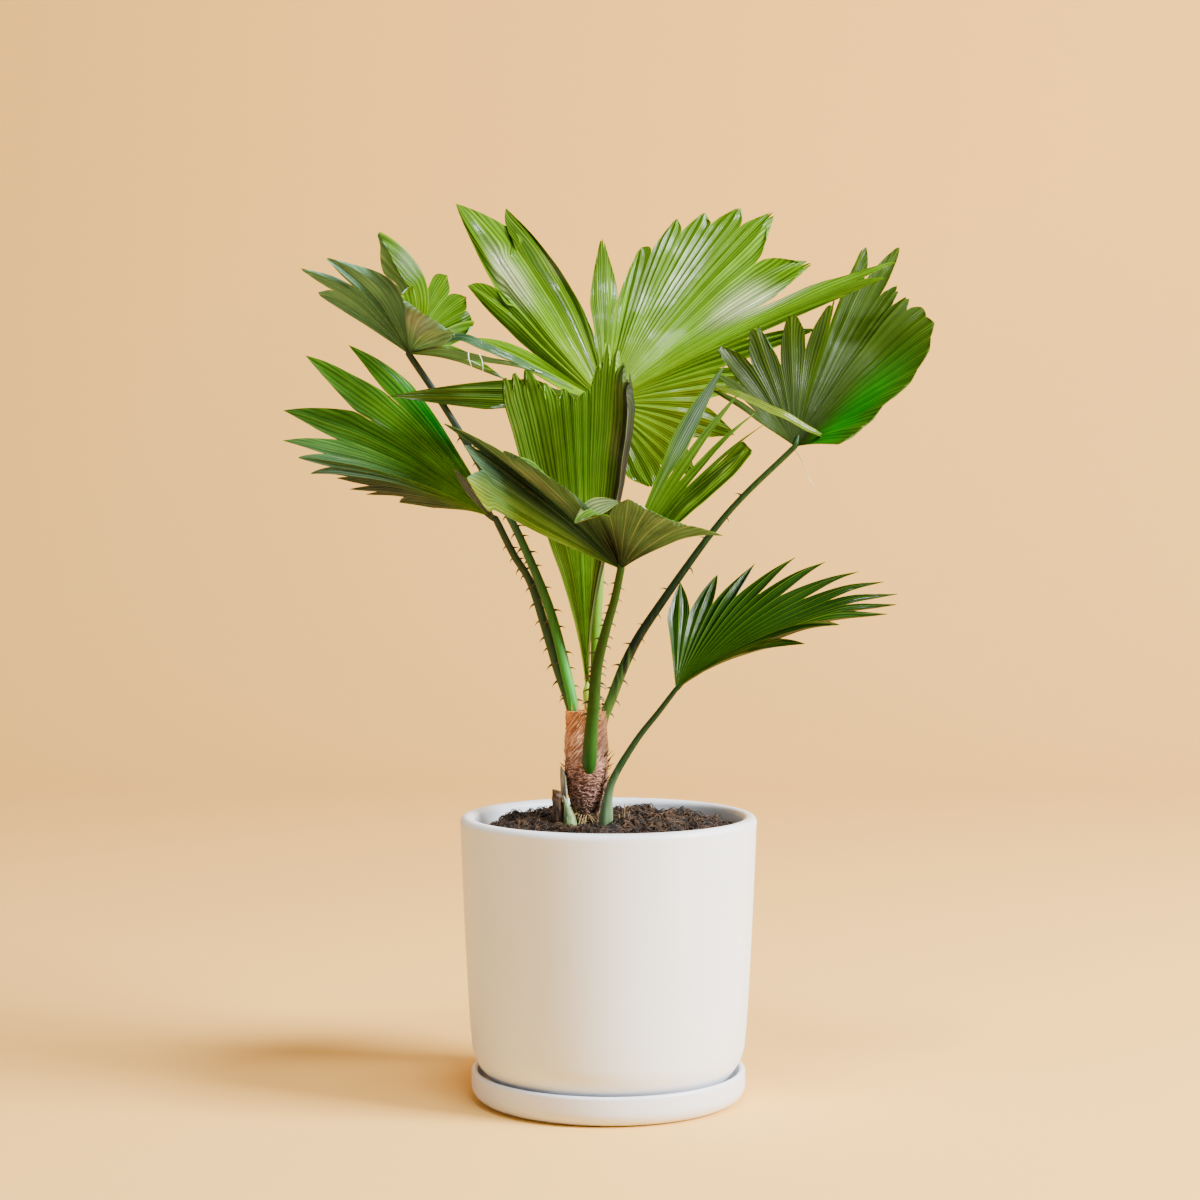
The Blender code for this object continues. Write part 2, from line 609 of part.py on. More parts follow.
def sheath_object(name, grow, collection):
    """Upright strip bent round the trunk, narrowing upwards. Growing it makes its slot in the soil."""
    middle = math.radians(sum(SHEATH_SPAN) / 2)
    half_turn = math.radians(SHEATH_SPAN[1] - SHEATH_SPAN[0]) / 2 + grow / SHEATH_RADIUS
    low = SHEATH_FOOT - grow
    high = SHEATH_TOP + grow
    bm = bmesh.new()
    bmesh.ops.create_grid(bm, x_segments=4, y_segments=5, size=1.0)
    for vertex in bm.verts:
        rise = (vertex.co.y + 1) / 2
        angle = middle + half_turn * vertex.co.x * (1 - 0.35 * rise ** 2)
        offset = Vector((math.cos(angle), math.sin(angle), 0)) * SHEATH_RADIUS
        vertex.co = (Vector((TRUNK_X, 0, low + (high - low) * rise)) + offset) * MM
    strip = new_object(name, new_mesh(name, bm), collection)
    solidify = strip.modifiers.new("thickness", "SOLIDIFY")
    solidify.thickness = (BLADE_THICKNESS + 2 * grow) * MM
    solidify.offset = 0.0
    apply_modifiers(strip)
    return strip


def build_small_stems(parts):
    """The old grey sheath, the brown stub of a cut leaf and the green shoot, each in the soil."""
    finish_piece(sheath_object("old_sheath", 0.0, parts), "9A8F86", 0.85)
    stub = tube_object("cut_stub", smooth_route(STUB_ROUTE, 1), 0.0, parts)
    finish_piece(stub, "5A4030", 0.9)
    shoot = tube_object("young_shoot", smooth_route(SHOOT_ROUTE, 2), 0.0, parts)
    finish_piece(shoot, "4F7D35", 0.5)


def build_holes(soil_cutters, trunk_cutters):
    """Sockets in the trunk, and holes in the soil for all that stands in it."""
    stems = [((TRUNK_X, 0.0), TRUNK_NECK_RADIUS)]
    low_frond = FRONDS["frond_low_right"]
    stems += [(route[0][:2], route[0][3]) for route in (low_frond.stalk, STUB_ROUTE, SHOOT_ROUTE)]
    floor = TRUNK_FOOT - GAP
    for number, (centre, radius) in enumerate(stems):
        round_cutter(f"stem_hole_{number}", centre, radius + GAP, floor, 110, soil_cutters)
    hide_cutter(sheath_object("sheath_slot", GAP, soil_cutters))
    for name, frond in FRONDS.items():
        if frond is not low_frond:
            stalk_socket(name, frond, trunk_cutters)
    return stems


def main():
    clear_scene()
    parts = bpy.data.collections.new("potted_fan_palm")
    soil_cutters = bpy.data.collections.new("soil_cutters")
    trunk_cutters = bpy.data.collections.new("trunk_cutters")
    for collection in (parts, soil_cutters, trunk_cutters):
        bpy.context.scene.collection.children.link(collection)
    build_saucer(parts)
    build_pot(parts)
    stems = build_holes(soil_cutters, trunk_cutters)
    build_soil(parts, soil_cutters, stems)
    build_trunk(parts, trunk_cutters)
    build_small_stems(parts)
    for name, frond in FRONDS.items():
        build_frond(name, frond, parts)


main()
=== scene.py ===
# %% [markdown]
# # A young fan palm in a ceramic pot
#
# The plant is a small indoor palm: seven fan-shaped fronds on thin thorny stalks, which rise from
# a bulb wrapped in its own brown fibre. It stands in a plain white pot on a matching saucer.
# The solids of every piece are already there, in one frame with this file. Here each piece gets
# the form and the surface that the eye sees: pleats and veins in the leaves, woven fibre, crumbs
# of soil, and a soft glaze.

import math
import random
from dataclasses import dataclass, field, fields

import bmesh
import bpy
from mathutils import Matrix, Vector, noise


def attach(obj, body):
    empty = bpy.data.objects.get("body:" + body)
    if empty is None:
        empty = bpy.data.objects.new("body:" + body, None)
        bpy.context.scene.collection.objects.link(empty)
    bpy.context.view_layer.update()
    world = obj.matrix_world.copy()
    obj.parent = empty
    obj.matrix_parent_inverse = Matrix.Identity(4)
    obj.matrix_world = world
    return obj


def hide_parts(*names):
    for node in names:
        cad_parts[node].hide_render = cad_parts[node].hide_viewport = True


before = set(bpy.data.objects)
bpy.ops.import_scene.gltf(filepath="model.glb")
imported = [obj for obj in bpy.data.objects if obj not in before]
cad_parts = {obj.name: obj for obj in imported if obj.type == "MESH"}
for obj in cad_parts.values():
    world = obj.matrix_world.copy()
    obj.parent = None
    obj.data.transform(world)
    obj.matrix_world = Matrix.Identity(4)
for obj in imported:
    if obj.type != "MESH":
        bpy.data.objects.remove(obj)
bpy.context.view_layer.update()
print("solids:", ", ".join(sorted(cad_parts)))

# %% [markdown]
# ## Units and small helpers
#
# Blender counts in metres, but a plant is easier to write in millimetres, so MM turns one into
# the other. An operator works on everything that is selected. So one helper selects a single
# object and nothing else, and is called before any operator.
#
# A colour is written as a hex value, the way a colour picker shows it. The shader works with
# linear light, so one function turns the first into the second.

# %% Helpers
MM = 0.001
SEED = 12


def only(obj):
    """Make one object the only selected one, and the active one."""
    bpy.ops.object.select_all(action="DESELECT")
    obj.select_set(True)
    bpy.context.view_layer.objects.active = obj


def linear(hex_colour):
    """Turn an sRGB hex colour into linear red, green, blue and alpha, by the sRGB curve."""
    channels = [int(hex_colour[start:start + 2], 16) / 255 for start in (1, 3, 5)]
    curved = [c / 12.92 if c <= 0.04045 else ((c + 0.055) / 1.055) ** 2.4 for c in channels]
    return (*curved, 1.0)


def apply_modifier(obj, kind, **settings):
    """Add a modifier with its settings, and apply it to the mesh at once."""
    only(obj)
    modifier = obj.modifiers.new(kind.lower(), kind)
    for name, value in settings.items():
        setattr(modifier, name, value)
    bpy.ops.object.modifier_apply(modifier=modifier.name)


def eased(low, high, value):
    """0 below low, 1 above high, and a smooth change between."""
    share = min(1.0, max(0.0, (value - low) / (high - low)))
    return share * share * (3 - 2 * share)


def smooth(obj, degrees):
    """Shade an object smooth, but keep edges sharp that turn by more than this angle."""
    only(obj)
    bpy.ops.object.shade_smooth_by_angle(angle=math.radians(degrees))


def place_piece(obj, material, *nodes):
    """Give a finished piece its material, let it ride with the object, and hide what it replaces."""
    if material is not None:
        obj.data.materials.clear()
        obj.data.materials.append(material)
    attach(obj, "root")
    if nodes:
        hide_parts(*nodes)
    triangles = sum(len(polygon.vertices) - 2 for polygon in obj.data.polygons)
    print(f"{obj.name}: {triangles} triangles")


print("mid grey #808080 in linear light:", round(linear("#808080")[0], 3))

# %% [markdown]
# ## One way to add a shader node
#
# A material is a small graph of nodes. This function adds one node, gives it its settings and
# the values of its sockets, and links other nodes' outputs to it. Every material below is made
# with it, so each reads as a list of what it holds.

# %% Shader nodes
def new_material(name):
    """An empty material that is ready for its nodes."""
    material = bpy.data.materials.new(name)
    material.use_nodes = True
    material.node_tree.nodes.clear()
    return material


def add_node(material, kind, settings=None, sockets=None, links=None, stops=None):
    """Add one shader node, with its settings, socket values, links and colour stops."""
    node = material.node_tree.nodes.new("ShaderNode" + kind)
    for name, value in (settings or {}).items():
        setattr(node, name, value)
    for name, value in (sockets or {}).items():
        node.inputs[name].default_value = value
    for name, source in (links or {}).items():
        material.node_tree.links.new(source, node.inputs[name])
    if stops:
        elements = node.color_ramp.elements
        while len(elements) < len(stops):
            elements.new(1.0)
        for element, (position, hex_colour) in zip(elements, stops):
            element.position = position
            element.color = linear(hex_colour)
    return node


# %% [markdown]
# ## Camera
#
# The object is seen from the height of its lower leaves and from nearly a metre away, with a long
# lens. So the pot's rim shows as a thin ellipse, and its sides stay nearly straight.

# %% Camera
# The place is in millimetres, and the nearest visible distance is in metres.
CAMERA_PLACE = (-2.9, -896.0, 213.7)
CAMERA_PITCH_DEGREES = 2.65
CAMERA_LENS = 78.2
SENSOR_WIDTH = 36.0
NEAREST_VISIBLE = 0.01

bpy.ops.object.select_all(action="DESELECT")
bpy.ops.object.camera_add(location=Vector(CAMERA_PLACE) * MM,
                          rotation=(math.radians(90 - CAMERA_PITCH_DEGREES), 0, 0))
camera = bpy.context.object
camera.name = "camera"
camera.data.lens = CAMERA_LENS
camera.data.sensor_width = SENSOR_WIDTH
camera.data.clip_start = NEAREST_VISIBLE
bpy.context.scene.camera = camera
print("camera lens", camera.data.lens, "mm")

# %% [markdown]
# ## Floor and light
#
# A studio uses a sweep: a floor that curves up into a wall, so that no line crosses behind the
# object. The wide window light comes from the right and a little in front, which leaves the pot's
# left side in soft shade. A weak bluish one fills from the left, and a small one overhead puts the
# shine on the upper leaves.

# %% The sweep
# All five sizes are in metres.
SWEEP_WIDTH = 6.0
SWEEP_FRONT = -2.5
SWEEP_BACK = 0.9
SWEEP_CURVE = 0.5
SWEEP_HEIGHT = 3.0
SWEEP_STEPS = 16


def plaster_material():
    """Matt painted plaster: an even warm coat that scatters light and doesn't shine."""
    material = new_material("matt warm plaster")
    plaster = add_node(material, "BsdfPrincipled",
                       sockets={"Base Color": linear("#F2BE60"), "Roughness": 0.9})
    add_node(material, "OutputMaterial", links={"Surface": plaster.outputs[0]})
    return material


def build_sweep():
    """Extrude a plane's far edge step by step round a quarter circle, then up."""
    bpy.ops.object.select_all(action="DESELECT")
    bpy.ops.mesh.primitive_plane_add(size=1.0)
    sweep = bpy.context.object
    sweep.name = "studio_sweep"
    for vertex in sweep.data.vertices:
        vertex.co.x *= SWEEP_WIDTH
        vertex.co.y = SWEEP_FRONT if vertex.co.y < 0 else SWEEP_BACK
    bpy.ops.object.mode_set(mode="EDIT")
    bpy.ops.mesh.select_mode(type="EDGE")
    bpy.ops.mesh.select_all(action="DESELECT")
    shape = bmesh.from_edit_mesh(sweep.data)
    for edge in shape.edges:
        edge.select_set(all(vertex.co.y > 0 for vertex in edge.verts))
    bmesh.update_edit_mesh(sweep.data)
    for step in range(SWEEP_STEPS):
        angle = math.radians(90) * (step + 0.5) / SWEEP_STEPS
        length = SWEEP_CURVE * math.radians(90) / SWEEP_STEPS
        move = (0, length * math.cos(angle), length * math.sin(angle))
        bpy.ops.mesh.extrude_region_move(TRANSFORM_OT_translate={"value": move})
    bpy.ops.mesh.extrude_region_move(TRANSFORM_OT_translate={"value": (0, 0, SWEEP_HEIGHT)})
    bpy.ops.object.mode_set(mode="OBJECT")
    smooth(sweep, 60)
    sweep.data.materials.append(plaster_material())


build_sweep()
print("floor and wall in one sheet,", SWEEP_WIDTH, "m wide")

# %% Lights
# Each light: its name, place, target, width and height in metres, watts and colour.
LIGHTS = [
    ("window light", (1.4, -0.54, 1.02), (0, 0, 0.15), 0.7, 0.9, 134.0, "#FFFFFF"),
    ("left fill", (-1.3, -1.1, 0.6), (0, 0, 0.2), 0.9, 0.9, 3.0, "#CCDDFF"),
    ("top light", (0.08, -0.3, 1.3), (0, 0.02, 0.25), 0.3, 0.2, 15.0, "#FFFFFF"),
]
SKY_COLOUR = "#F2F5FF"
SKY_STRENGTH = 0.24


def add_light(name, place, target, width, height, watts, hex_colour):
    """Soft rectangular light that points from a place to a target, in metres."""
    bpy.ops.object.select_all(action="DESELECT")
    direction = Vector(target) - Vector(place)
    turn = direction.to_track_quat("-Z", "Y").to_euler()
    bpy.ops.object.light_add(type="AREA", location=place, rotation=turn)
    light = bpy.context.object
    light.name = name
    light.data.shape = "RECTANGLE"
    light.data.size = width
    light.data.size_y = height
    light.data.energy = watts
    light.data.color = linear(hex_colour)[:3]


for row in LIGHTS:
    add_light(*row)

world = bpy.data.worlds.new("studio air")
world.use_nodes = True
sky = world.node_tree.nodes["Background"]
sky.inputs["Color"].default_value = linear(SKY_COLOUR)
sky.inputs["Strength"].default_value = SKY_STRENGTH
bpy.context.scene.world = world
print(len(LIGHTS), "lights and a dim sky")

# %% [markdown]
# ## Pot and saucer
#
# Both are slip-cast or thrown round, so their shape is one outline turned about the middle.
# The outline is drawn as by hand: one point is extruded from corner to corner, and the line is
# then spun a full turn. A lathe with 128 steps leaves no flat sides to see.

# %% Turning
TURN_STEPS = 128
WELD_MM = 0.01


def arc(centre, radius, first_degrees, last_degrees, steps):
    """Points along an arc, in the plane of radius and height."""
    points = []
    for step in range(steps + 1):
        angle = math.radians(first_degrees + (last_degrees - first_degrees) * step / steps)
        points.append((centre[0] + radius * math.cos(angle), centre[1] + radius * math.sin(angle)))
    return points


def turn(name, outline, steps=TURN_STEPS):
    """Draw an outline of (radius, height) points in millimetres and spin it about the Z axis."""
    bpy.ops.object.select_all(action="DESELECT")
    bpy.ops.mesh.primitive_plane_add(size=MM, location=(0, 0, 0))
    obj = bpy.context.object
    obj.name = name
    bpy.ops.object.mode_set(mode="EDIT")
    bpy.ops.mesh.select_mode(type="VERT")
    bpy.ops.mesh.select_all(action="SELECT")
    bpy.ops.mesh.merge(type="CENTER")
    bpy.ops.transform.translate(value=(outline[0][0] * MM, 0, outline[0][1] * MM))
    for start, end in zip(outline, outline[1:]):
        move = ((end[0] - start[0]) * MM, 0, (end[1] - start[1]) * MM)
        bpy.ops.mesh.extrude_vertices_move(TRANSFORM_OT_translate={"value": move})
    bpy.ops.mesh.select_all(action="SELECT")
    bpy.ops.mesh.spin(steps=steps, angle=math.tau, center=(0, 0, 0), axis=(0, 0, 1))
    bpy.ops.mesh.select_all(action="SELECT")
    bpy.ops.mesh.remove_doubles(threshold=WELD_MM * MM)
    bpy.ops.mesh.normals_make_consistent(inside=False)
    bpy.ops.object.mode_set(mode="OBJECT")
    return obj


print("a full turn takes", TURN_STEPS, "steps")

# %% [markdown]
# ## The glaze
#
# The pot is fine stoneware under a satin glaze. It was dipped, so the coat is even, with a grain
# too fine to feel that softens each reflection. A real grain would be too small to show here, so
# it's drawn half a millimetre wide. The saucer has the same glaze, but its colours here are a
# little bluer and darker than the pot's: painted shade from the pot above it.

# %% Satin glaze
GLAZE_GRAIN_MM = 0.5
GLAZE_RELIEF_MM = 0.02
GLAZE_CLOUDS_PER_METRE = 18.0


def glaze_material(name, hex_colour, darker_hex, roughness):
    """Satin-glazed stoneware: a soft wide sheen, faint clouds of tone and a fine grain."""
    material = new_material(name)
    place = add_node(material, "TexCoord")
    clouds = add_node(material, "TexNoise",
                      sockets={"Scale": GLAZE_CLOUDS_PER_METRE, "Detail": 3.0},
                      links={"Vector": place.outputs["Object"]})
    tone = add_node(material, "ValToRGB", links={"Fac": clouds.outputs["Fac"]},
                    stops=[(0.35, darker_hex), (0.65, hex_colour)])
    grain = add_node(material, "TexNoise",
                     sockets={"Scale": 1 / (GLAZE_GRAIN_MM * MM), "Detail": 2.0},
                     links={"Vector": place.outputs["Object"]})
    relief = add_node(material, "Bump",
                      sockets={"Strength": 0.06, "Distance": GLAZE_RELIEF_MM * MM},
                      links={"Height": grain.outputs["Fac"]})
    glaze = add_node(material, "BsdfPrincipled",
                     sockets={"Roughness": roughness, "IOR": 1.5, "Coat Weight": 0.12,
                              "Coat Roughness": 0.35},
                     links={"Base Color": tone.outputs["Color"], "Normal": relief.outputs["Normal"]})
    add_node(material, "OutputMaterial", links={"Surface": glaze.outputs[0]})
    return material


print("grain of the glaze:", GLAZE_GRAIN_MM, "mm")

# %% Pot
# Radii, heights and thicknesses are in millimetres from here on.
POT_LIP_RADIUS = 51.2
POT_HEEL_RADIUS = 47.4
POT_HEIGHT = 98.0
POT_WALL = 4.8
POT_CORNER = 18.0
POT_FLARE = 0.75
POT_LIP_ROUNDING = 2.2
POT_BOTTOM = 3.3
DRAIN_HOLE_RADIUS = 5.0
WALL_STEPS = 24
HEEL_STEPS = 14
LIP_STEPS = 8


def pot_radius(height):
    """Outer radius of the wall, which flares quickly above the heel and slowly at the lip."""
    heel = POT_BOTTOM + POT_CORNER
    share = max(0.0, (height - heel) / (POT_HEIGHT - heel))
    return POT_HEEL_RADIUS + (POT_LIP_RADIUS - POT_HEEL_RADIUS) * share ** POT_FLARE


def pot_side(inset, top):
    """The wall's outline from a height down to the flat of the bottom, moved in by an inset."""
    heel = POT_BOTTOM + POT_CORNER
    heights = [top + (heel - top) * step / WALL_STEPS for step in range(WALL_STEPS)]
    wall = [(pot_radius(height) - inset, height) for height in heights]
    return wall + arc((POT_HEEL_RADIUS - POT_CORNER, heel), POT_CORNER - inset, 0, -90, HEEL_STEPS)


def build_pot():
    """Turn the pot: over the lip, down the outside, through the drain hole and up the inside."""
    rounding = POT_LIP_ROUNDING
    lip = POT_HEIGHT - rounding
    outline = arc((POT_LIP_RADIUS - rounding, lip), rounding, 90, 0, LIP_STEPS)
    outline += pot_side(0, POT_HEIGHT - 2 * rounding)
    outline += [(DRAIN_HOLE_RADIUS, POT_BOTTOM), (DRAIN_HOLE_RADIUS, POT_BOTTOM + POT_WALL)]
    outline += reversed(pot_side(POT_WALL, POT_HEIGHT - 2 * rounding))
    outline += arc((POT_LIP_RADIUS - POT_WALL + rounding, lip), rounding, 180, 90, LIP_STEPS)
    outline.append(outline[0])
    pot = turn("glazed_pot", outline)
    smooth(pot, 40)
    place_piece(pot, glaze_material("satin white glaze", "#EAF1F8", "#E4EBF3", 0.42), "pot")


build_pot()

# %% Saucer
SAUCER_RADIUS = 47.4
SAUCER_HEIGHT = 10.5
SAUCER_WALL = 2.2
SAUCER_FLOOR = 3.0
SAUCER_CORNER = 5.0
SAUCER_STEPS = 10


def build_saucer():
    """Turn the saucer: out along its floor, up, over the lip and down to its flat base."""
    lip = SAUCER_WALL / 2
    inside = SAUCER_CORNER + lip
    inner_radius = SAUCER_RADIUS - SAUCER_WALL
    outline = [(0, SAUCER_FLOOR)]
    outline += arc((inner_radius - inside, SAUCER_FLOOR + inside), inside, -90, 0, LIP_STEPS)
    outline += arc((SAUCER_RADIUS - lip, SAUCER_HEIGHT - lip), lip, 180, 0, SAUCER_STEPS)
    corner = SAUCER_RADIUS - SAUCER_CORNER, SAUCER_CORNER
    outline += arc(corner, SAUCER_CORNER, 0, -90, SAUCER_STEPS)
    outline.append((0, 0))
    saucer = turn("glazed_saucer", outline)
    smooth(saucer, 40)
    # The saucer's glaze colours are a little bluer and darker than the pot's: painted shade from the
    # pot.
    place_piece(saucer, glaze_material("satin glaze with painted pot shade", "#E2E6F0", "#DCE0EB", 0.38), "saucer")


build_saucer()

# %% [markdown]
# ## How a fan leaf is built
#
# A palm fan is one sheet that folds like a paper fan in the bud. Later it opens, and splits from
# the rim inwards into leaflets. Each leaflet keeps the fold along its middle, and the leaflets
# stay joined near the stalk.
#
# It could be cut from a flat sheet with an alpha picture, but that leaves no thickness and no
# folds. Here every leaflet is a grid of its own. One function gives the place of each point on
# it, by how far across and how far along the leaflet it lies. Neighbours use the same seam up to
# the split, so they weld into one sheet there, and part beyond it.

# %% What a frond is
@dataclass
class Frond:
    """One fan-shaped leaf. Leaflets run clockwise to someone who faces the upper side.

    Places are in millimetres, and a dictionary's keys are the numbers of leaflets.

    stalk: knots of (x, y, z, radius), from the trunk up to the hub.
    leaflets: the place of each tip, from the hub.
    splits: the share of the length up to which two neighbours are one sheet.
    arch, bent: how far a midrib's middle is lifted off its chord, per length, and how many times.
    folds, pleat: the number of folds across a leaflet, and their depth for its width.
    valley_shade: painted shade, how much darker a fold's valley is painted than its crest.
    teeth, toothed: teeth on a blunt tip, and the first and last leaflet that has them.
    blunt_end, tears: what a toothed tip keeps of its length at its sides, and its torn depth.
    bluntness: how late a leaflet narrows to its tip.
    root_width: how far apart the outer midribs start.
    spines: where the thorns begin and end along the stalk, and how many stand on each edge.
    upper, under: colours of each side at the hub, the middle and the tip.
    stalk_skin: colours of the stalk from its foot to the hub.
    shades: how bright a leaflet is; the young frond's dark outer leaflets are painted shade.
    twists, widths: degrees that a leaflet's free part turns, and how many times wider it is.
    bows, low_bows: sideways bends of a midrib, widest at its middle or at a third of its length.
    weathered: whether the upper side has lost its shine.
    patches, under_patches: soft spots from one leaflet to another, between two shares of the
    length, in a colour of their own. Some of them are painted highlights, painted shade and a
    painted glow of light through the leaf.
    """
    node: str
    stalk: list
    leaflets: list
    splits: list
    arch: tuple = (0, 0, 0.06)
    folds: int = 2
    pleat: float = 0.6
    teeth: int = 0
    toothed: tuple = (0, 99)
    blunt_end: float = 0.86
    bluntness: float = 1.7
    bent: dict = field(default_factory=dict)
    root_width: float = 0.0
    spines: tuple = (0.2, 0.9, 8)
    upper: tuple = ("#6C8C34", "#4C7222", "#3C5F1E")
    under: tuple = ("#6E7A4A", "#5C7040", "#56703F")
    stalk_skin: tuple = ("#6E8C40", "#4E6B3A")
    shades: dict = field(default_factory=dict)
    twists: dict = field(default_factory=dict)
    widths: dict = field(default_factory=dict)
    bows: dict = field(default_factory=dict)
    low_bows: dict = field(default_factory=dict)
    tears: dict = field(default_factory=dict)
    valley_shade: float = 0.2
    weathered: bool = False
    under_patches: list = field(default_factory=list)
    patches: list = field(default_factory=list)


print("a frond has", len(fields(Frond)), "values")

# %% [markdown]
# ## The seven fronds
#
# No two fans are alike: one is bent over, one is worn, one is still folded. So each frond is a
# record of its own values. The fan's shape comes from where its leaflets end, and its looks from
# a few colours and soft patches, some of which are painted highlights, painted shade and a painted
# glow. A maker would note the same things in front of the plant.

# %% Upper left frond: bent over, so that it mostly shows its underside
UPPER_LEFT = Frond(
    node="frond_upper_left",
    stalk=[(-11.0, -0.8, 121, 1.7), (-11.7, -0.6, 133, 1.8), (-14.3, 1, 146, 1.9), (-20, 3, 168, 1.7),
           (-28, 4, 188, 1.5), (-36, 5, 204, 1.3), (-55, 7, 236, 1.2), (-69, 8, 257, 1.2)],
    leaflets=[(12, 26, 29), (18, 28, 21), (21, 22, 12), (34, 8, -9), (47, -20, -8), (16, -24, 6),
              (-1, -24, 18), (-9, -14, 40), (-27, -12, 32), (-36, -8, 29), (-31, -2, 21)],
    splits=[0.8, 0.9, 0.5, 0.4, 0.35, 0.85, 0.6, 0.55, 0.6, 0.7],
    arch=(0, -0.05, 0.05), teeth=1, bluntness=2.4, bent={6: 3.0}, spines=(0.2, 0.85, 14),
    upper=("#70980A", "#5E9000", "#528208"),
    under=("#78B890", "#80C498", "#90D4AC"),
    stalk_skin=("#3E9A30", "#3A7034", "#34504A", "#2E3E38"),
    widths={7: 1.3}, bows={7: (11, 0, 0), 8: (2, 0, 1), 9: (0, 0, 2)},
    shades={8: 0.9, 9: 0.85},
    # The last patch, dark at the underside's foot, is painted shade.
    under_patches=[(4.6, 6.6, 0.1, 1.1, "#B4CCC4"), (6.4, 7.8, 0.3, 1.1, "#86C470"),
                   (-1, 12, -0.2, 0.16, "#3A3A28")])
print("frond of", len(UPPER_LEFT.leaflets), "leaflets")

# %% Left frond: dark and weathered, with a streak of fresh green
LEFT = Frond(
    node="frond_left",
    stalk=[(-12.0, 3.4, 121, 1.4), (-12.8, 3.7, 133, 1.5), (-17.5, 5, 148, 1.7), (-22, 6, 163, 1.6),
           (-27, 7, 178, 1.4), (-33, 7, 188, 1.3), (-39, 7, 200, 1.2)],
    leaflets=[(-35, 20, 5), (-46, 14, 9), (-51, 6, 11), (-55, 0, 14), (-63, -8, 16), (-67, -10, 21),
              (-73, -4, 27), (-74, 6, 37), (-68, 22, 57), (-54, 36, 62)],
    splits=[0.7, 0.7, 0.7, 0.75, 0.8, 0.75, 0.65, 0.6, 0.55],
    spines=(0.2, 0.9, 12),
    upper=("#84BC14", "#62A818", "#4C8614"),
    under=("#5A7A44", "#62805E", "#6C7E72"),
    stalk_skin=("#3E6A34", "#34503A", "#2C4034"),
    weathered=True,
    widths={number: 1.25 for number in range(10)},
    patches=[(8.4, 10.2, 0.1, 0.85, "#00A41E"), (-5.5, 8.5, -0.2, 1.8, "#56686C")])
print("frond of", len(LEFT.leaflets), "leaflets")

# %% Back frond: the largest, pale, with painted highlights
BACK = Frond(
    node="frond_back",
    stalk=[(-5.4, 5.2, 121, 1.8), (-5.2, 5.6, 133, 1.8), (-4.5, 7, 145, 1.8), (-4, 9, 165, 1.8),
           (-2, 13, 203, 1.6), (-1, 16, 240, 1.5)],
    leaflets=[(-74, -22, 2), (-45, 4, 23), (-49, 18, 42), (-54, 34, 73), (-36, 40, 72), (-1, 42, 61),
              (13, 44, 58), (26, 46, 69), (36, 46, 71), (49, 45, 73), (61, 42, 71), (74, 32, 52),
              (102, 6, 50), (98, 2, 44), (74, 6, 26), (57, 2, 9), (45, -2, -11), (31, -6, -25),
              (16, -6, -29)],
    splits=[0.25, 0.5, 0.55, 0.72, 0.32, 0.5, 0.85, 0.88, 0.9, 0.88, 0.8, 0.6, 0.85, 0.55, 0.6,
            0.6, 0.65, 0.8],
    arch=(0, 0.05, 0.03), folds=3, pleat=0.42, teeth=3, toothed=(5, 18), blunt_end=0.9,
    bluntness=2.2, spines=(0.3, 0.9, 8),
    widths={0: 2.0, 2: 1.25, 3: 1.65, 4: 0.9, 5: 1.6}, twists={0: -35},
    bows={2: (-2, -3, -2), 3: (-3.5, -3, 0), 4: (5, 5, 2)},
    upper=("#9ACC00", "#78B200", "#689E00"),
    under=("#84BC28", "#78B02C", "#6EA030"),
    stalk_skin=("#5E9420", "#6E9830"),
    shades={0: 0.3, 2: 0.7, 3: 0.8, 4: 0.45, 5: 0.85},
    tears={8: 0.3, 9: 0.5, 10: 0.9, 11: 0.3},
    # The pale patches over leaflets 3, 4 and 11, and the yellow-green one lower right, are painted
    # highlights.
    patches=[(2.5, 3.5, 0.38, 0.82, "#E8F8B4"), (10.4, 12.0, 0.4, 0.88, "#E8F8B4"),
             (3.8, 4.4, 0.5, 0.8, "#D8F08C"), (13.4, 19.0, 0.0, 1.2, "#A4DC1C")])
print("frond of", len(BACK.leaflets), "leaflets")

# %% Young frond: upright and still folded
YOUNG = Frond(
    node="frond_young",
    stalk=[(-6.5, 0.0, 121, 1.7), (-6.6, 0.2, 131, 1.7), (-7, 1, 140, 1.8)],
    leaflets=[(-27.5, -19, 108), (-24.5, -12, 110), (-20, -5, 112), (-14, 2, 107), (-8, 6, 105),
              (-1, 6, 104), (3, 2, 113), (6, -2, 121), (9, -7, 119), (11.5, -13, 113),
              (13, -20, 107)],
    splits=[0.92, 0.92, 0.92, 0.93, 0.95, 0.95, 0.92, 0.9, 0.92, 0.92],
    arch=(0, 0.01, 0), folds=2, pleat=1.3, teeth=2, blunt_end=0.8, bluntness=2.6, root_width=1.2,
    spines=(0, 0, 0),
    upper=("#ACEC44", "#A0EC3C", "#8CCC38"),
    under=("#ACE048", "#A0D440", "#8CBC3C"),
    stalk_skin=("#8CA832", "#9ABC3C"),
    bows={0: (-3, 0, 0), 1: (-2, 0, 0), 7: (1, 0, 0), 8: (2.5, 0, 0), 9: (4, 0, 0), 10: (5, 0, 0)},
    low_bows={0: (5, 0, 0), 1: (4, 0, 0), 2: (2, 0, 0), 7: (-1.5, 0, 0), 8: (-3.5, 0, 0),
              9: (-5.5, 0, 0), 10: (-6.5, 0, 0)},
    # The low shades of the outer leaflets paint the shade inside the folded trough.
    shades={0: 0.4, 1: 0.5, 2: 0.8, 3: 1.3, 4: 1.5, 5: 1.7, 6: 1.5, 7: 1.4, 8: 1.1, 9: 0.6, 10: 0.45},
    valley_shade=0.5,
    patches=[(8, 13, -0.2, 1.6, "#6A7064")],
    under_patches=[(8, 13, -0.2, 1.6, "#6A7064")])
print("frond of", len(YOUNG.leaflets), "leaflets")

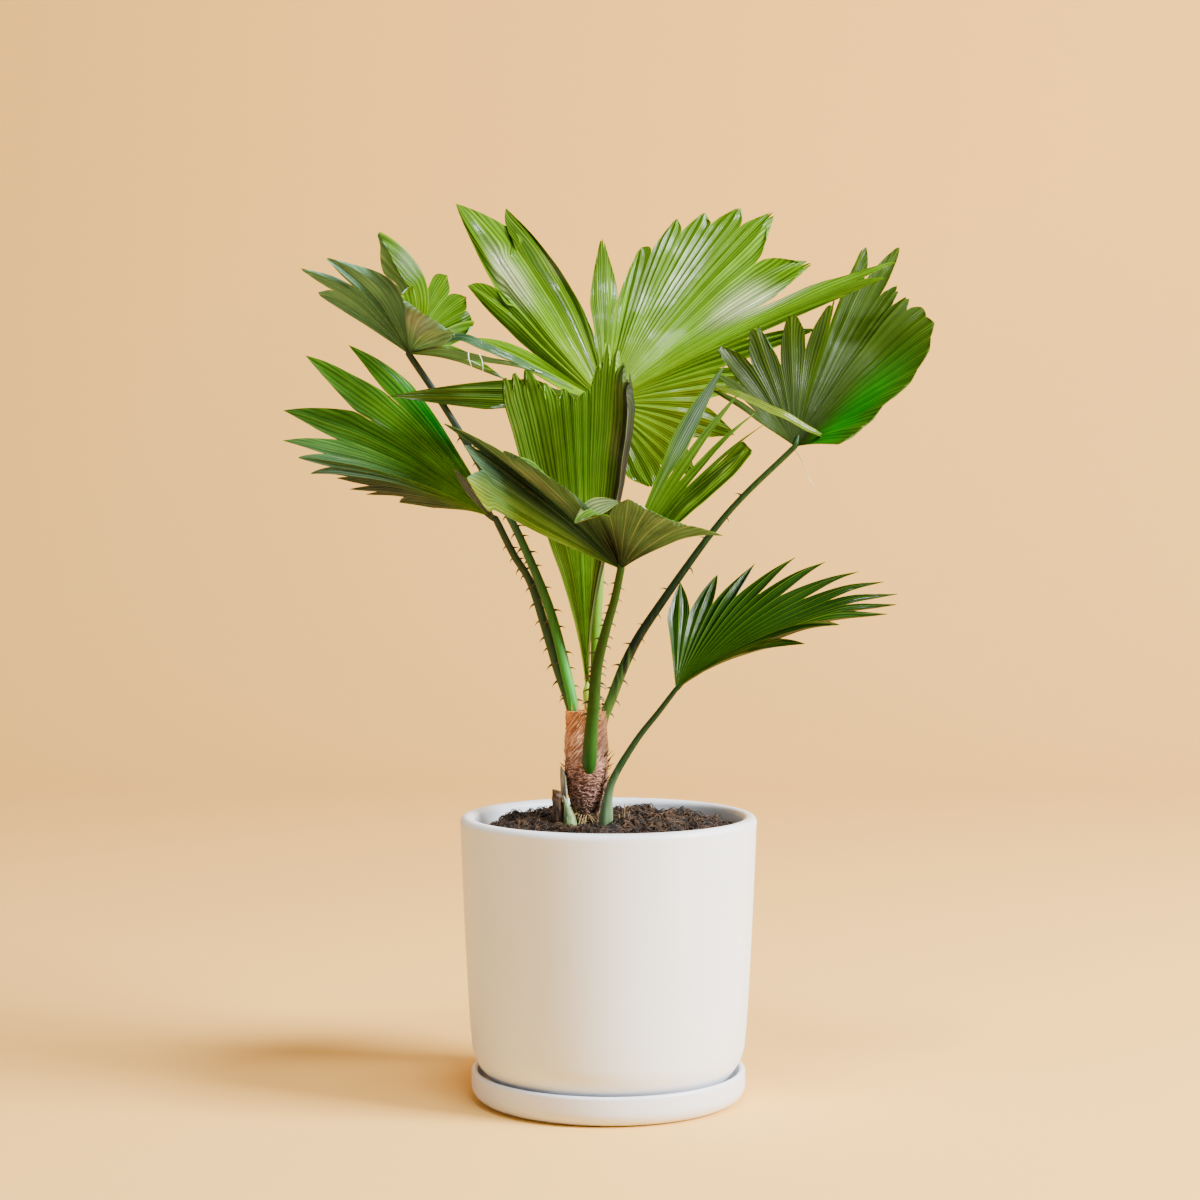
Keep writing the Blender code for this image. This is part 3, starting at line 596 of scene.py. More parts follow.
# %% Front frond: seen from below, with three long cut leaflets
FRONT = Frond(
    node="frond_front",
    stalk=[(-6.7, -5.2, 113, 1.7), (-6.5, -7.4, 117.5, 2.5), (-6.0, -10.4, 127, 2.3),
           (-5, -14, 138, 2.1), (-4, -18, 150, 1.9), (-1, -24, 163, 1.6), (2, -29, 174, 1.4),
           (4, -34, 184, 1.3)],
    leaflets=[(35, 14, 68), (41, 12, 60), (45, 10, 52), (48, 6, 48), (41, 2, 39), (32, -38, 12),
              (14, -46, 17), (2, -44, 23), (-15, -34, 16), (-17, -22, 27), (-33, -8, 37), (-59, 10, 48),
              (-52, 6, 41), (-51, 0, 30)],
    splits=[0.4, 0.45, 0.45, 0.42, 0.25, 0.9, 0.95, 0.6, 0.5, 0.92, 0.85, 0.8, 0.82],
    arch=(0, 0, 0.05), pleat=0.35, bent={8: 5.0}, spines=(0.35, 0.95, 12),
    upper=("#7AA60C", "#649606", "#5A8C34"),
    under=("#466C4C", "#5C8A62", "#6A986E"),
    stalk_skin=("#285A1C", "#183A10", "#204014"),
    widths={0: 2.0, 1: 0.9, 2: 0.9, 3: 0.9, 4: 1.4, 13: 1.5}, bows={12: (0, 0, -1.5), 13: (0, 0, -3)},
    shades={11: 1.1, 13: 1.3},
    patches=[(-0.6, 0.7, 0.2, 1.4, "#6A8478"), (2.4, 5.2, 0.1, 1.4, "#3E5A10")],
    # The two darkest patches at the underside's foot are painted shade.
    under_patches=[(-8, 11, -0.75, 0.85, "#242C10"), (5, 12, -0.6, 0.8, "#0A1204"),
                   (9.6, 11.2, 0.35, 0.95, "#98B08C"), (10.6, 12.9, 0.2, 1.0, "#2A3C14"),
                   (12.2, 14.4, -0.3, 1.5, "#98D454"), (12.4, 14.6, 0.75, 1.2, "#A8C020")])
print("frond of", len(FRONT.leaflets), "leaflets")

# %% Right frond: olive, blunt and nearly whole
RIGHT = Frond(
    node="frond_right",
    stalk=[(-2.4, 0.4, 121, 1.6), (-1.9, 0.6, 130, 1.7), (1, 0, 138, 1.8), (7, 0, 153, 1.7),
           (16, 0, 168, 1.5), (40, 0, 201, 1.1), (64, 0, 225, 1.0)],
    leaflets=[(-29, -14, 19), (-27, -8, 24), (-27, 0, 34), (-14, 5, 42), (-1, 8, 46), (14, 13, 50),
              (28, 45, 73), (41, 46, 72), (39, 35, 56), (42, 30, 53), (47, 26, 49), (50, 18, 43),
              (47, 8, 33), (38, -2, 21), (22, -12, 7)],
    splits=[0.45, 0.6, 0.7, 0.6, 0.67, 0.6, 0.75, 0.8, 0.88, 0.92, 0.97, 0.99, 0.99, 0.98],
    arch=(0, 0.04, 0.03), folds=2, pleat=0.2, teeth=2, toothed=(1, 10), blunt_end=0.74,
    bluntness=3.5, spines=(0.25, 0.9, 8),
    # The dark upper colours also paint the shade that falls on this fan.
    upper=("#2A4000", "#3C5C00", "#486A02"),
    under=("#4E7A38", "#527E40", "#5A8448"),
    # The near-black middle of the stalk's skin is a painted shadow.
    stalk_skin=("#4E7A34", "#0A1408", "#142A16", "#264620"),
    weathered=True, tears={3: 0.4, 6: 0.3, 8: 0.5, 9: 0.4},
    # The first and last patch, over the left leaflets and the foot, are painted shade; the vivid green
    # one is a painted glow of light through the leaf.
    patches=[(-3, 6.5, -0.4, 1.6, "#2E4200"), (9.9, 16.6, 0.05, 1.1, "#009200"),
             (6, 15.4, -0.2, 0.2, "#1E2C00")])
print("frond of", len(RIGHT.leaflets), "leaflets")

# %% Low right frond: small and dark, with many thin tips
LOW_RIGHT = Frond(
    node="frond_low_right",
    stalk=[(-0.8, -5.4, 88.5, 2.5), (-0.8, -5.4, 98, 2.4), (0.1, -5.3, 106, 1.5),
           (2.6, -5.4, 113, 1.3), (10, -6, 125, 1.1), (17, -7, 134, 1.0), (23, -8, 142, 0.9)],
    leaflets=[(2, 16, 36), (15, 20, 39), (28, 20, 42), (42, 18, 44), (52, 14, 43), (63, 8, 40),
              (71, 2, 37), (75, -4, 33), (74, -10, 30), (70, -18, 27), (53, -30, 24), (41, -38, 18)],
    splits=[0.6, 0.6, 0.6, 0.6, 0.62, 0.64, 0.7, 0.74, 0.74, 0.7, 0.58],
    arch=(0, 0, 0.08), bluntness=1.5, spines=(0, 0, 0),
    upper=("#3E7008", "#2C5802", "#224A04"),
    under=("#46543C", "#505E48", "#5C6854"),
    stalk_skin=("#7E9C6E", "#284628", "#1C3A22"))
print("frond of", len(LOW_RIGHT.leaflets), "leaflets")

# %% All fronds
FRONDS = [UPPER_LEFT, LEFT, BACK, YOUNG, FRONT, RIGHT, LOW_RIGHT]
print(len(FRONDS), "fronds with", sum(len(frond.leaflets) for frond in FRONDS), "leaflets")

# %% [markdown]
# ## The sheet of a fan
#
# Each leaflet's midrib is a shallow curve from the hub to its tip. The seam between two leaflets
# runs halfway between their midribs. The folds stand up from this sheet and lie down in turn,
# and they get flatter towards the tips.

# %% Midribs and seams
# A leaflet starts half a millimetre from the hub. The two bow factors make a bow reach its full
# width at its widest place. The slope of a midrib is measured over a small step of its length.
BLADE_ROOT = 0.5
MIDDLE_BOW = 4.0
LOW_BOW = 6.75
SLOPE_STEP = 0.02


def midrib(frond, index, share):
    """Point on a leaflet's midrib at a share of its length, as an offset from the hub."""
    tip = Vector(frond.leaflets[index])
    rise = Vector(frond.arch) * tip.length * frond.bent.get(index, 1.0)
    crest = tip / 2 + rise * 2
    root = Vector((frond.root_width * (index / (len(frond.leaflets) - 1) - 0.5), 0, 0))
    bow = Vector(frond.bows.get(index, (0, 0, 0))) * MIDDLE_BOW * share * (1 - share)
    bow += Vector(frond.low_bows.get(index, (0, 0, 0))) * LOW_BOW * share * (1 - share) ** 2
    return root * (1 - share) + crest * 2 * share * (1 - share) + tip * share ** 2 + bow


def seam(frond, index, share):
    """Point where a leaflet meets the next one. A fan's outer edges mirror the nearest seam."""
    last = len(frond.leaflets) - 1
    if index < 0:
        return midrib(frond, 0, share) * 2 - seam(frond, 0, share)
    if index >= last:
        return midrib(frond, last, share) * 2 - seam(frond, last - 1, share)
    return (midrib(frond, index, share) + midrib(frond, index + 1, share)) / 2


def seam_span(frond, index):
    """Shares of the length at which a seam leaves the hub and at which it opens."""
    index = min(max(index, 0), len(frond.leaflets) - 2)
    lengths = Vector(frond.leaflets[index]).length + Vector(frond.leaflets[index + 1]).length
    return 2 * BLADE_ROOT / lengths, frond.splits[index]


print("the back frond's first midrib ends at", [round(c, 1) for c in midrib(BACK, 0, 1.0)])

# %% Which way is up, and how high the folds are
def upward(frond, index, share):
    """Unit normal of the upper side at a leaflet's midrib."""
    along = midrib(frond, index, share + SLOPE_STEP) - midrib(frond, index, share - SLOPE_STEP)
    across = seam(frond, index, share) - seam(frond, index - 1, share)
    return across.cross(along).normalized()


def seam_upward(frond, index, share):
    """Unit normal of the upper side at a seam, halfway between its two leaflets' normals."""
    last = len(frond.leaflets) - 1
    one = upward(frond, min(max(index, 0), last), share)
    other = upward(frond, min(max(index + 1, 0), last), share)
    return (one + other).normalized()


def pleat_height(frond, index, share):
    """Height of a leaflet's folds above and below the sheet, which follows its width."""
    width = (seam(frond, index, share) - seam(frond, index - 1, share)).length
    return frond.pleat * width / (4 * frond.folds)


def seam_pleat_height(frond, index, share):
    """Height of the folds at a seam, halfway between its two leaflets' heights."""
    last = len(frond.leaflets) - 1
    one = pleat_height(frond, min(max(index, 0), last), share)
    other = pleat_height(frond, min(max(index + 1, 0), last), share)
    return (one + other) / 2


print("folds in the back frond's middle rise", round(pleat_height(BACK, 9, 0.5), 2), "mm")

# %% [markdown]
# ## A point of a leaflet
#
# A point of a leaflet is found from three numbers: how far it lies across the leaflet, from -1 to
# 1, and how far along the joined part and along the free part. The free part narrows to the tip.
# A slow wave of noise lifts and lowers the sheet by up to about a millimetre, because no living
# leaf lies quite true. Some leaflets also turn or widen once they are free, and blunt ones end in
# torn teeth.

# %% Folds and teeth
FOLD_LEAST = 0.35
FOLD_VARIETY = 1.3
FOLD_AT_MIDRIB = 0.5
TOOTH_DEPTH = 0.12


def fold_wave(across, folds):
    """Height of the folds across a leaflet: 1 at its seams and -1 in each valley."""
    place = (across + 1) / 2 * folds
    return 4 * abs(place - math.floor(place) - 0.5) - 1


def fold_strength(index, across):
    """Some folds are deep and some nearly flat, but they match where two leaflets meet."""
    variety = abs(noise.noise(Vector((0.83 * (index + across / 2), 0.4, 2.2))))
    return FOLD_LEAST + FOLD_VARIETY * variety + FOLD_AT_MIDRIB * (1 - abs(across))


def tooth_length(frond, index, across):
    """Share of the free part that the sheet keeps at a place across a toothed leaflet."""
    place = (across + 1) / 2 * frond.teeth
    from_gap = 2 * abs(place - round(place))
    tear = 0.5 + noise.noise(Vector((index * 3.7 + round(place), frond.pleat * 9, 1.3)))
    depth = frond.tears.get(index, TOOTH_DEPTH) * max(0.2, tear)
    return 1 - (1 - frond.blunt_end) * across ** 2 - depth * (1 - from_gap) ** 1.5


print("a fold's crest and valley:", fold_wave(0.0, 2), fold_wave(0.5, 2))

# %% Points of a leaflet
# A free leaflet is fully turned or widened by this share of its free part.
FULLY_TURNED = 0.3
WAVE_MM = 1.3
WAVE_LENGTH_MM = 17.0


def leaflet_point(frond, index, across, joined, free):
    """Point of the pleated sheet in millimetres from the hub, and its share of the length."""
    side = index - 1 if across < 0 else index
    aside = abs(across)
    left_span = seam_span(frond, index - 1)
    right_span = seam_span(frond, index)
    side_span = left_span if across < 0 else right_span
    start, opening = [(one + other) / 2 * (1 - aside) + here * aside
                      for one, other, here in zip(left_span, right_span, side_span)]
    narrowing = 1 - free ** frond.bluntness
    if frond.teeth and frond.toothed[0] <= index <= frond.toothed[1]:
        narrowing = 1 - (free * frond.blunt_end) ** frond.bluntness
        free *= tooth_length(frond, index, across)
    share = start + (opening - start) * joined + (1 - opening) * free
    level = min(share, opening)
    point = midrib(frond, index, share)
    out = (seam(frond, side, level) - midrib(frond, index, level)) * aside * narrowing
    up = upward(frond, index, share).lerp(seam_upward(frond, side, share), aside).normalized()
    turned = eased(0.0, FULLY_TURNED, free)
    if turned and index in frond.twists:
        along = midrib(frond, index, share) - midrib(frond, index, share - SLOPE_STEP)
        twist = Matrix.Rotation(math.radians(frond.twists[index]) * turned, 3, along.normalized())
        out = twist @ out
        up = twist @ up
    out *= 1 + (frond.widths.get(index, 1.0) - 1) * turned
    height = pleat_height(frond, index, level) * (1 - aside)
    height += seam_pleat_height(frond, side, level) * aside
    fold = fold_wave(across, frond.folds) * height * narrowing * fold_strength(index, across)
    wave = noise.noise((point + out) / WAVE_LENGTH_MM) * WAVE_MM * share
    return point + out + up * (fold + wave), share


print("the back frond's first leaflet ends at",
      [round(c, 1) for c in leaflet_point(BACK, 0, 0.0, 1.0, 1.0)[0]])

# %% [markdown]
# ## Colours along a leaflet
#
# A fan is brightest near its hub and duller at its tips, and the plant's leaves have worn areas
# and fresh streaks. The feet of three fans are painted dark as painted shade, and a few patches
# are painted highlights and a painted glow of light through the leaf. Painting a picture for each
# would be slow. Instead every point gets a colour that is worked out from its place on the fan:
# three tones along the leaflet, and soft patches over them. The hex values are as bright as a lit
# leaf looks, so the pigment is darker than they say.

# %% Colours along a leaflet
PIGMENT = 0.62
MIDDLE_SHARE = 0.4


def blend(one, other, amount):
    """Colour that lies between two, by an amount from 0 to 1."""
    return [a + (b - a) * amount for a, b in zip(one, other)]


def three_tone(colours, share):
    """Colour along a leaflet, from the hub's through the middle's to the tip's."""
    hub, middle, tip = [[c * PIGMENT for c in linear(hex_colour)] for hex_colour in colours]
    if share < MIDDLE_SHARE:
        return blend(hub, middle, share / MIDDLE_SHARE)
    return blend(middle, tip, (share - MIDDLE_SHARE) / (1 - MIDDLE_SHARE))


def patched(patches, index, across, share, colour):
    """Lay patches of other colour over a base colour, with soft edges."""
    place = index + across / 2
    for first, last, low, high, hex_colour in patches:
        middle, half = (first + last) / 2, (last - first) / 2
        centre, reach = (low + high) / 2, (high - low) / 2
        distance = math.hypot((place - middle) / half, (share - centre) / reach)
        if distance < 1:
            amount = (1 - distance) ** 2 * (1 + 2 * distance)
            colour = blend(colour, [c * PIGMENT for c in linear(hex_colour)], amount)
    return colour


print("pigment in the back frond's middle:", [round(c, 2) for c in three_tone(BACK.upper, 0.4)[:3]])

# %% [markdown]
# ## Making the blade
#
# A grid is added for each leaflet, and its points are moved to their places. The grid brings its
# own UV map: across the leaflet in U and along it in V, which the veins follow later. Two colour
# layers hold the tint of each side. Then the leaflets are joined, welded along their seams, and
# given a thickness of a quarter of a millimetre, about that of a real palm leaf.

# %% Tints of a leaflet
LEAFLET_VARIETY = 0.25


def tint_layers(mesh):
    """Add two colour layers, for the upper side and for the underside."""
    upper = mesh.color_attributes.new("upper_tint", "FLOAT_COLOR", "CORNER")
    under = mesh.color_attributes.new("under_tint", "FLOAT_COLOR", "CORNER")
    return upper, under


def tint_leaflet(mesh, frond, index, hub, spots):
    """Colour both sides of a leaflet, and lay its UVs, from each point's (across, share, width)."""
    variety = 1 + LEAFLET_VARIETY * noise.noise(Vector((index * 1.7, hub.x, hub.z)))
    lightness = frond.shades.get(index, 1.0) * variety
    upper, under = tint_layers(mesh)
    uvs = mesh.uv_layers.active.data
    for loop in mesh.loops:
        across, share, width = spots[loop.vertex_index]
        # A fold's valley is painted darker than its crest: painted shade.
        depth = (1 - fold_wave(across, frond.folds)) / 2
        shade = lightness * (1 - frond.valley_shade * depth)
        top = patched(frond.patches, index, across, share, three_tone(frond.upper, share))
        bottom = patched(frond.under_patches, index, across, share, three_tone(frond.under, share))
        upper.data[loop.index].color = [*(c * shade for c in top[:3]), 1.0]
        under.data[loop.index].color = [*(c * shade for c in bottom[:3]), 1.0]
        uvs[loop.index].uv = ((index + (across * width + 1) / 2) * frond.folds, share)


print("leaflets differ by up to", round(100 * LEAFLET_VARIETY), "% in brightness")

# %% One leaflet
JOINED_ROWS = 12
FREE_ROWS = 18
COLUMNS_PER_FOLD = 4
UV_TIP = 0.9


def leaflet_rows():
    """How far along the joined part and along the free part each row of a leaflet lies."""
    rows = [(row / JOINED_ROWS, 0.0) for row in range(JOINED_ROWS + 1)]
    return rows + [(1.0, row / FREE_ROWS) for row in range(1, FREE_ROWS + 1)]


def build_leaflet(frond, index, hub):
    """One leaflet as a grid whose points lie on the pleated sheet, with UVs and tints."""
    rows = leaflet_rows()
    bpy.ops.object.select_all(action="DESELECT")
    bpy.ops.mesh.primitive_grid_add(x_subdivisions=frond.folds * COLUMNS_PER_FOLD,
                                    y_subdivisions=len(rows) - 1, size=2, calc_uvs=True)
    leaflet = bpy.context.object
    spots = []
    for vertex in leaflet.data.vertices:
        across = vertex.co.x
        joined, free = rows[round((vertex.co.y + 1) / 2 * (len(rows) - 1))]
        point, share = leaflet_point(frond, index, across, joined, free)
        spots.append((across, share, 1 - (free * UV_TIP) ** frond.bluntness))
        vertex.co = (hub + point) * MM
    tint_leaflet(leaflet.data, frond, index, hub, spots)
    return leaflet


print("a leaflet has", len(leaflet_rows()), "rows of points")

# %% Blade
LEAF_THICKNESS_MM = 0.25
SEAM_WELD_MM = 0.003


def join_pieces(pieces, name):
    """Join objects into the first one, and name it."""
    bpy.ops.object.select_all(action="DESELECT")
    for piece in pieces:
        piece.select_set(True)
    bpy.context.view_layer.objects.active = pieces[0]
    bpy.ops.object.join()
    pieces[0].name = name
    pieces[0].data.name = name
    return pieces[0]


def finish_sheet(sheet, upper_material, under_material):
    """Give a sheet of leaf a skin for each side, and the thickness of a leaf."""
    sheet.data.materials.clear()
    sheet.data.materials.append(upper_material)
    sheet.data.materials.append(under_material)
    apply_modifier(sheet, "SOLIDIFY", thickness=LEAF_THICKNESS_MM * MM, offset=0.0, material_offset=1)
    smooth(sheet, 35)


def build_blade(frond, upper_material, under_material):
    """Join a frond's leaflets, weld their seams and give them their two skins."""
    hub = Vector(frond.stalk[-1][:3])
    leaflets = [build_leaflet(frond, index, hub) for index in range(len(frond.leaflets))]
    blade = join_pieces(leaflets, frond.node.replace("frond", "blade"))
    only(blade)
    bpy.ops.object.mode_set(mode="EDIT")
    bpy.ops.mesh.select_all(action="SELECT")
    bpy.ops.mesh.remove_doubles(threshold=SEAM_WELD_MM * MM)
    bpy.ops.object.mode_set(mode="OBJECT")
    finish_sheet(blade, upper_material, under_material)
    place_piece(blade, None, frond.node)


print("a blade is", LEAF_THICKNESS_MM, "mm thick")

# %% [markdown]
# ## The leaf's surface
#
# A palm leaflet has a waxy skin over long parallel veins, about one each millimetre. The veins
# stand up a little, so a highlight on the leaf breaks into fine streaks. The upper side is deep
# green and shines in patches, where its wax is whole. On old fronds it has weathered and hardly
# shines. The underside is duller and greyer. Light also passes through the blade, which makes a
# leaf glow yellow-green where it is lit from behind.
#
# The veins run along the leaflet, so they are drawn from the UV map: U counts across, and a
# cosine of U gives ridges that all run to the tip.

# %% Veins, ribs, streaks and clouds
VEINS_PER_FOLD = 5
RIB_WIDTH = 0.07
STREAKS = (7.0, 2.0, 1.0)
CLOUDS_PER_METRE = 70.0


def leaf_patterns(material, rib_strength):
    """Veins across, a rib on each fold, streaks along the leaflet, and soft clouds of tone."""
    uv = add_node(material, "UVMap")
    split = add_node(material, "SeparateXYZ", links={"Vector": uv.outputs["UV"]})
    turns = add_node(material, "Math", settings={"operation": "MULTIPLY"},
                     sockets={1: VEINS_PER_FOLD * math.tau}, links={0: split.outputs["X"]})
    veins = add_node(material, "Math", settings={"operation": "COSINE"}, links={0: turns.outputs[0]})
    fold = add_node(material, "Math", settings={"operation": "PINGPONG"}, sockets={1: 0.5},
                    links={0: split.outputs["X"]})
    rib = add_node(material, "MapRange", settings={"interpolation_type": "SMOOTHSTEP"},
                   sockets={1: 0.0, 2: RIB_WIDTH, 3: rib_strength, 4: 0.0},
                   links={0: fold.outputs[0]})
    stretched = add_node(material, "Mapping", sockets={"Scale": STREAKS},
                         links={"Vector": uv.outputs["UV"]})
    streaks = add_node(material, "TexNoise",
                       sockets={"Scale": 1.0, "Detail": 4.0, "Roughness": 0.65},
                       links={"Vector": stretched.outputs[0]})
    place = add_node(material, "TexCoord")
    clouds = add_node(material, "TexNoise", sockets={"Scale": CLOUDS_PER_METRE, "Detail": 3.0},
                      links={"Vector": place.outputs["Object"]})
    return veins, rib, streaks, clouds


print("veins in a leaflet of two folds:", 2 * VEINS_PER_FOLD)

# %% Colour of the flesh
# A Map Range takes in what lies between its sockets 1 and 2, and gives out 3 to 4.
STREAK_TONES = {3: 0.58, 4: 1.42}
CLOUD_TONES = {3: 0.82, 4: 1.18}


def flesh_colour(material, tint_layer, patterns, rib_hex, vein_depth):
    """The stored tint, darker and lighter by every pattern, with paler ribs laid over it."""
    veins, rib, streaks, clouds = patterns
    tint = add_node(material, "Attribute", settings={"attribute_name": tint_layer})
    vein_tone = add_node(material, "MapRange",
                         sockets={1: -1.0, 2: 1.0, 3: 1 - vein_depth, 4: 1 + vein_depth / 2},
                         links={0: veins.outputs[0]})
    streak_tone = add_node(material, "MapRange", sockets={1: 0.3, 2: 0.7, **STREAK_TONES},
                           links={0: streaks.outputs["Fac"]})
    cloud_tone = add_node(material, "MapRange", sockets={1: 0.3, 2: 0.7, **CLOUD_TONES},
                          links={0: clouds.outputs["Fac"]})
    fine = add_node(material, "Math", settings={"operation": "MULTIPLY"},
                    links={0: vein_tone.outputs[0], 1: streak_tone.outputs[0]})
    tone = add_node(material, "Math", settings={"operation": "MULTIPLY"},
                    links={0: fine.outputs[0], 1: cloud_tone.outputs[0]})
    flesh = add_node(material, "VectorMath", settings={"operation": "SCALE"},
                     links={0: tint.outputs["Color"], "Scale": tone.outputs[0]})
    return add_node(material, "Mix", settings={"data_type": "RGBA"},
                    sockets={7: linear(rib_hex)}, links={0: rib.outputs[0], 6: flesh.outputs[0]})


print("tone across streaks:", STREAK_TONES[3], "to", STREAK_TONES[4])

# %% Waxy leaf
VEIN_RELIEF_MM = 0.08
STREAK_RELIEF_MM = 0.5
WAX_EDGES = {1: 0.44, 2: 0.64}
LIGHT_THROUGH = (1.3, 1.3, 0.4)


def leaf_material(name, tint_layer, roughness, wax, glow, rib_hex, rib_strength, vein_depth):
    """Waxy leaf skin with parallel veins, paler ribs on the folds and light passing through."""
    material = new_material(name)
    patterns = leaf_patterns(material, rib_strength)
    veins, _, streaks, clouds = patterns
    colour = flesh_colour(material, tint_layer, patterns, rib_hex, vein_depth)
    gloss = add_node(material, "MapRange", settings={"interpolation_type": "SMOOTHSTEP"},
                     sockets={**WAX_EDGES, 3: 0.1 * wax, 4: wax}, links={0: clouds.outputs["Fac"]})
    relief = add_node(material, "Bump",
                      sockets={"Strength": 0.4, "Distance": VEIN_RELIEF_MM * MM},
                      links={"Height": veins.outputs[0]})
    ridges = add_node(material, "Bump",
                      sockets={"Strength": 0.5, "Distance": STREAK_RELIEF_MM * MM},
                      links={"Height": streaks.outputs["Fac"], "Normal": relief.outputs["Normal"]})
    skin = add_node(material, "BsdfPrincipled",
                    sockets={"Roughness": roughness, "IOR": 1.45, "Specular IOR Level": 0.07,
                             "Coat Roughness": 0.12, "Coat IOR": 1.5},
                    links={"Base Color": colour.outputs[2], "Normal": ridges.outputs["Normal"],
                           "Coat Weight": gloss.outputs[0], "Coat Normal": relief.outputs["Normal"]})
    through = add_node(material, "VectorMath", settings={"operation": "MULTIPLY"},
                       sockets={1: LIGHT_THROUGH}, links={0: colour.outputs[2]})
    glowing = add_node(material, "BsdfTranslucent", links={"Color": through.outputs[0]})
    leaf = add_node(material, "MixShader", sockets={0: glow},
                    links={1: skin.outputs[0], 2: glowing.outputs[0]})
    add_node(material, "OutputMaterial", links={"Surface": leaf.outputs[0]})
    return material


glossy_leaf = leaf_material("waxy upper side of a palm leaf", "upper_tint", roughness=0.4,
                            wax=0.7, glow=0.22, rib_hex="#86AA1E", rib_strength=0.3,
                            vein_depth=0.5)
weathered_leaf = leaf_material("weathered upper side of a palm leaf", "upper_tint", roughness=0.5,
                               wax=0.12, glow=0.22, rib_hex="#6E8420", rib_strength=0.2,
                               vein_depth=0.4)
dull_leaf = leaf_material("dull underside of a palm leaf", "under_tint", roughness=0.5,
                          wax=0.08, glow=0.2, rib_hex="#A4B48C", rib_strength=0.35,
                          vein_depth=0.25)
print("three leaf skins:", glossy_leaf.name, "/", weathered_leaf.name, "/", dull_leaf.name)

# %% Seven blades
for frond in FRONDS:
    build_blade(frond, weathered_leaf if frond.weathered else glossy_leaf, dull_leaf)

# %% [markdown]
# ## Stalks
#
# A stalk is a stiff green rod, thickest near the trunk. A cylinder could be extruded and bent by
# hand, but a curve along a few knots, with the radius of each, gives that shape at once and is
# then made a mesh. The skin changes its tone on the way up.

# %% Curves and rods
ROD_WELD_MM = 0.002


def smooth_route(knots, steps):
    """Catmull-Rom curve through (x, y, z, radius) knots."""
    knots = [Vector(knot) for knot in knots]
    padded = [knots[0] * 2 - knots[1], *knots, knots[-1] * 2 - knots[-2]]
    route = []
    for before, start, end, after in zip(padded, padded[1:], padded[2:], padded[3:]):
        for step in range(steps):
            t = step / steps
            bend = start * 2 + (end - before) * t
            bend += (before * 2 - start * 5 + end * 4 - after) * t ** 2
            bend += (start * 3 - before - end * 3 + after) * t ** 3
            route.append(bend / 2)
    route.append(knots[-1])
    return route


def strands(name, routes, resolution=0):
    """Round rods along routes of (x, y, z, radius), drawn as one curve and made a mesh."""
    curve = bpy.data.curves.new(name, "CURVE")
    curve.dimensions = "3D"
    curve.bevel_depth = MM
    curve.bevel_resolution = resolution
    curve.use_fill_caps = True
    for route in routes:
        spline = curve.splines.new("POLY")
        spline.points.add(len(route) - 1)
        for point, knot in zip(spline.points, route):
            point.co = (knot[0] * MM, knot[1] * MM, knot[2] * MM, 1.0)
            point.radius = knot[3]
    obj = bpy.data.objects.new(name, curve)
    bpy.context.scene.collection.objects.link(obj)
    only(obj)
    bpy.ops.object.convert(target="MESH")
    return bpy.context.object


def rod(name, route, resolution=4):
    """One thick rod, with its caps welded to its side."""
    obj = strands(name, [route], resolution)
    bpy.ops.object.mode_set(mode="EDIT")
    bpy.ops.mesh.select_all(action="SELECT")
    bpy.ops.mesh.remove_doubles(threshold=ROD_WELD_MM * MM)
    bpy.ops.object.mode_set(mode="OBJECT")
    return obj


print("points along the back stalk:", len(smooth_route(BACK.stalk, 8)))

# %% Stalk skin
# Grain for each metre: about 1 mm wide across the stalk and 17 mm long.
STALK_GRAIN = (900.0, 900.0, 60.0)
STALK_RELIEF_MM = 0.15


def stalk_material(name, hexes, low, high):
    """Smooth green stalk skin: fine lengthwise grain, a soft sheen, and a change of tone upwards."""
    material = new_material(name)
    place = add_node(material, "TexCoord")
    split = add_node(material, "SeparateXYZ", links={"Vector": place.outputs["Object"]})
    rise = add_node(material, "MapRange", sockets={1: low * MM, 2: high * MM},
                    links={0: split.outputs["Z"]})
    grain_place = add_node(material, "Mapping", sockets={"Scale": STALK_GRAIN},
                           links={"Vector": place.outputs["Object"]})
    grain = add_node(material, "TexNoise", sockets={"Scale": 1.0, "Detail": 3.0},
                     links={"Vector": grain_place.outputs[0]})
    shift = add_node(material, "Math", settings={"operation": "MULTIPLY_ADD"},
                     sockets={1: 0.5, 2: -0.25}, links={0: grain.outputs["Fac"]})
    mixed = add_node(material, "Math", settings={"operation": "ADD", "use_clamp": True},
                     links={0: rise.outputs[0], 1: shift.outputs[0]})
    stops = [(step / (len(hexes) - 1), hex_colour) for step, hex_colour in enumerate(hexes)]
    tone = add_node(material, "ValToRGB", links={"Fac": mixed.outputs[0]}, stops=stops)
    relief = add_node(material, "Bump",
                      sockets={"Strength": 0.3, "Distance": STALK_RELIEF_MM * MM},
                      links={"Height": grain.outputs["Fac"]})
    skin = add_node(material, "BsdfPrincipled",
                    sockets={"Roughness": 0.42, "Specular IOR Level": 0.15},
                    links={"Base Color": tone.outputs["Color"], "Normal": relief.outputs["Normal"]})
    add_node(material, "OutputMaterial", links={"Surface": skin.outputs[0]})
    return material


print("grain of a stalk, per metre:", STALK_GRAIN)

# %% Seven stalks
# Past the hub a stalk runs on into the blade: how far, and with what share of its radius.
BLADE_FOOT = ((0.8, 1.0), (1.8, 0.8), (3.0, 0.5), (4.2, 0.15))


def blade_foot(frond):
    """The stalk's last taper, which runs a few millimetres into the blade between its ribs."""
    hub = Vector(frond.stalk[-1])
    middle = sum((Vector(tip).normalized() for tip in frond.leaflets), Vector()).normalized()
    return [Vector((*(hub.xyz + middle * reach), hub.w * width)) for reach, width in BLADE_FOOT]


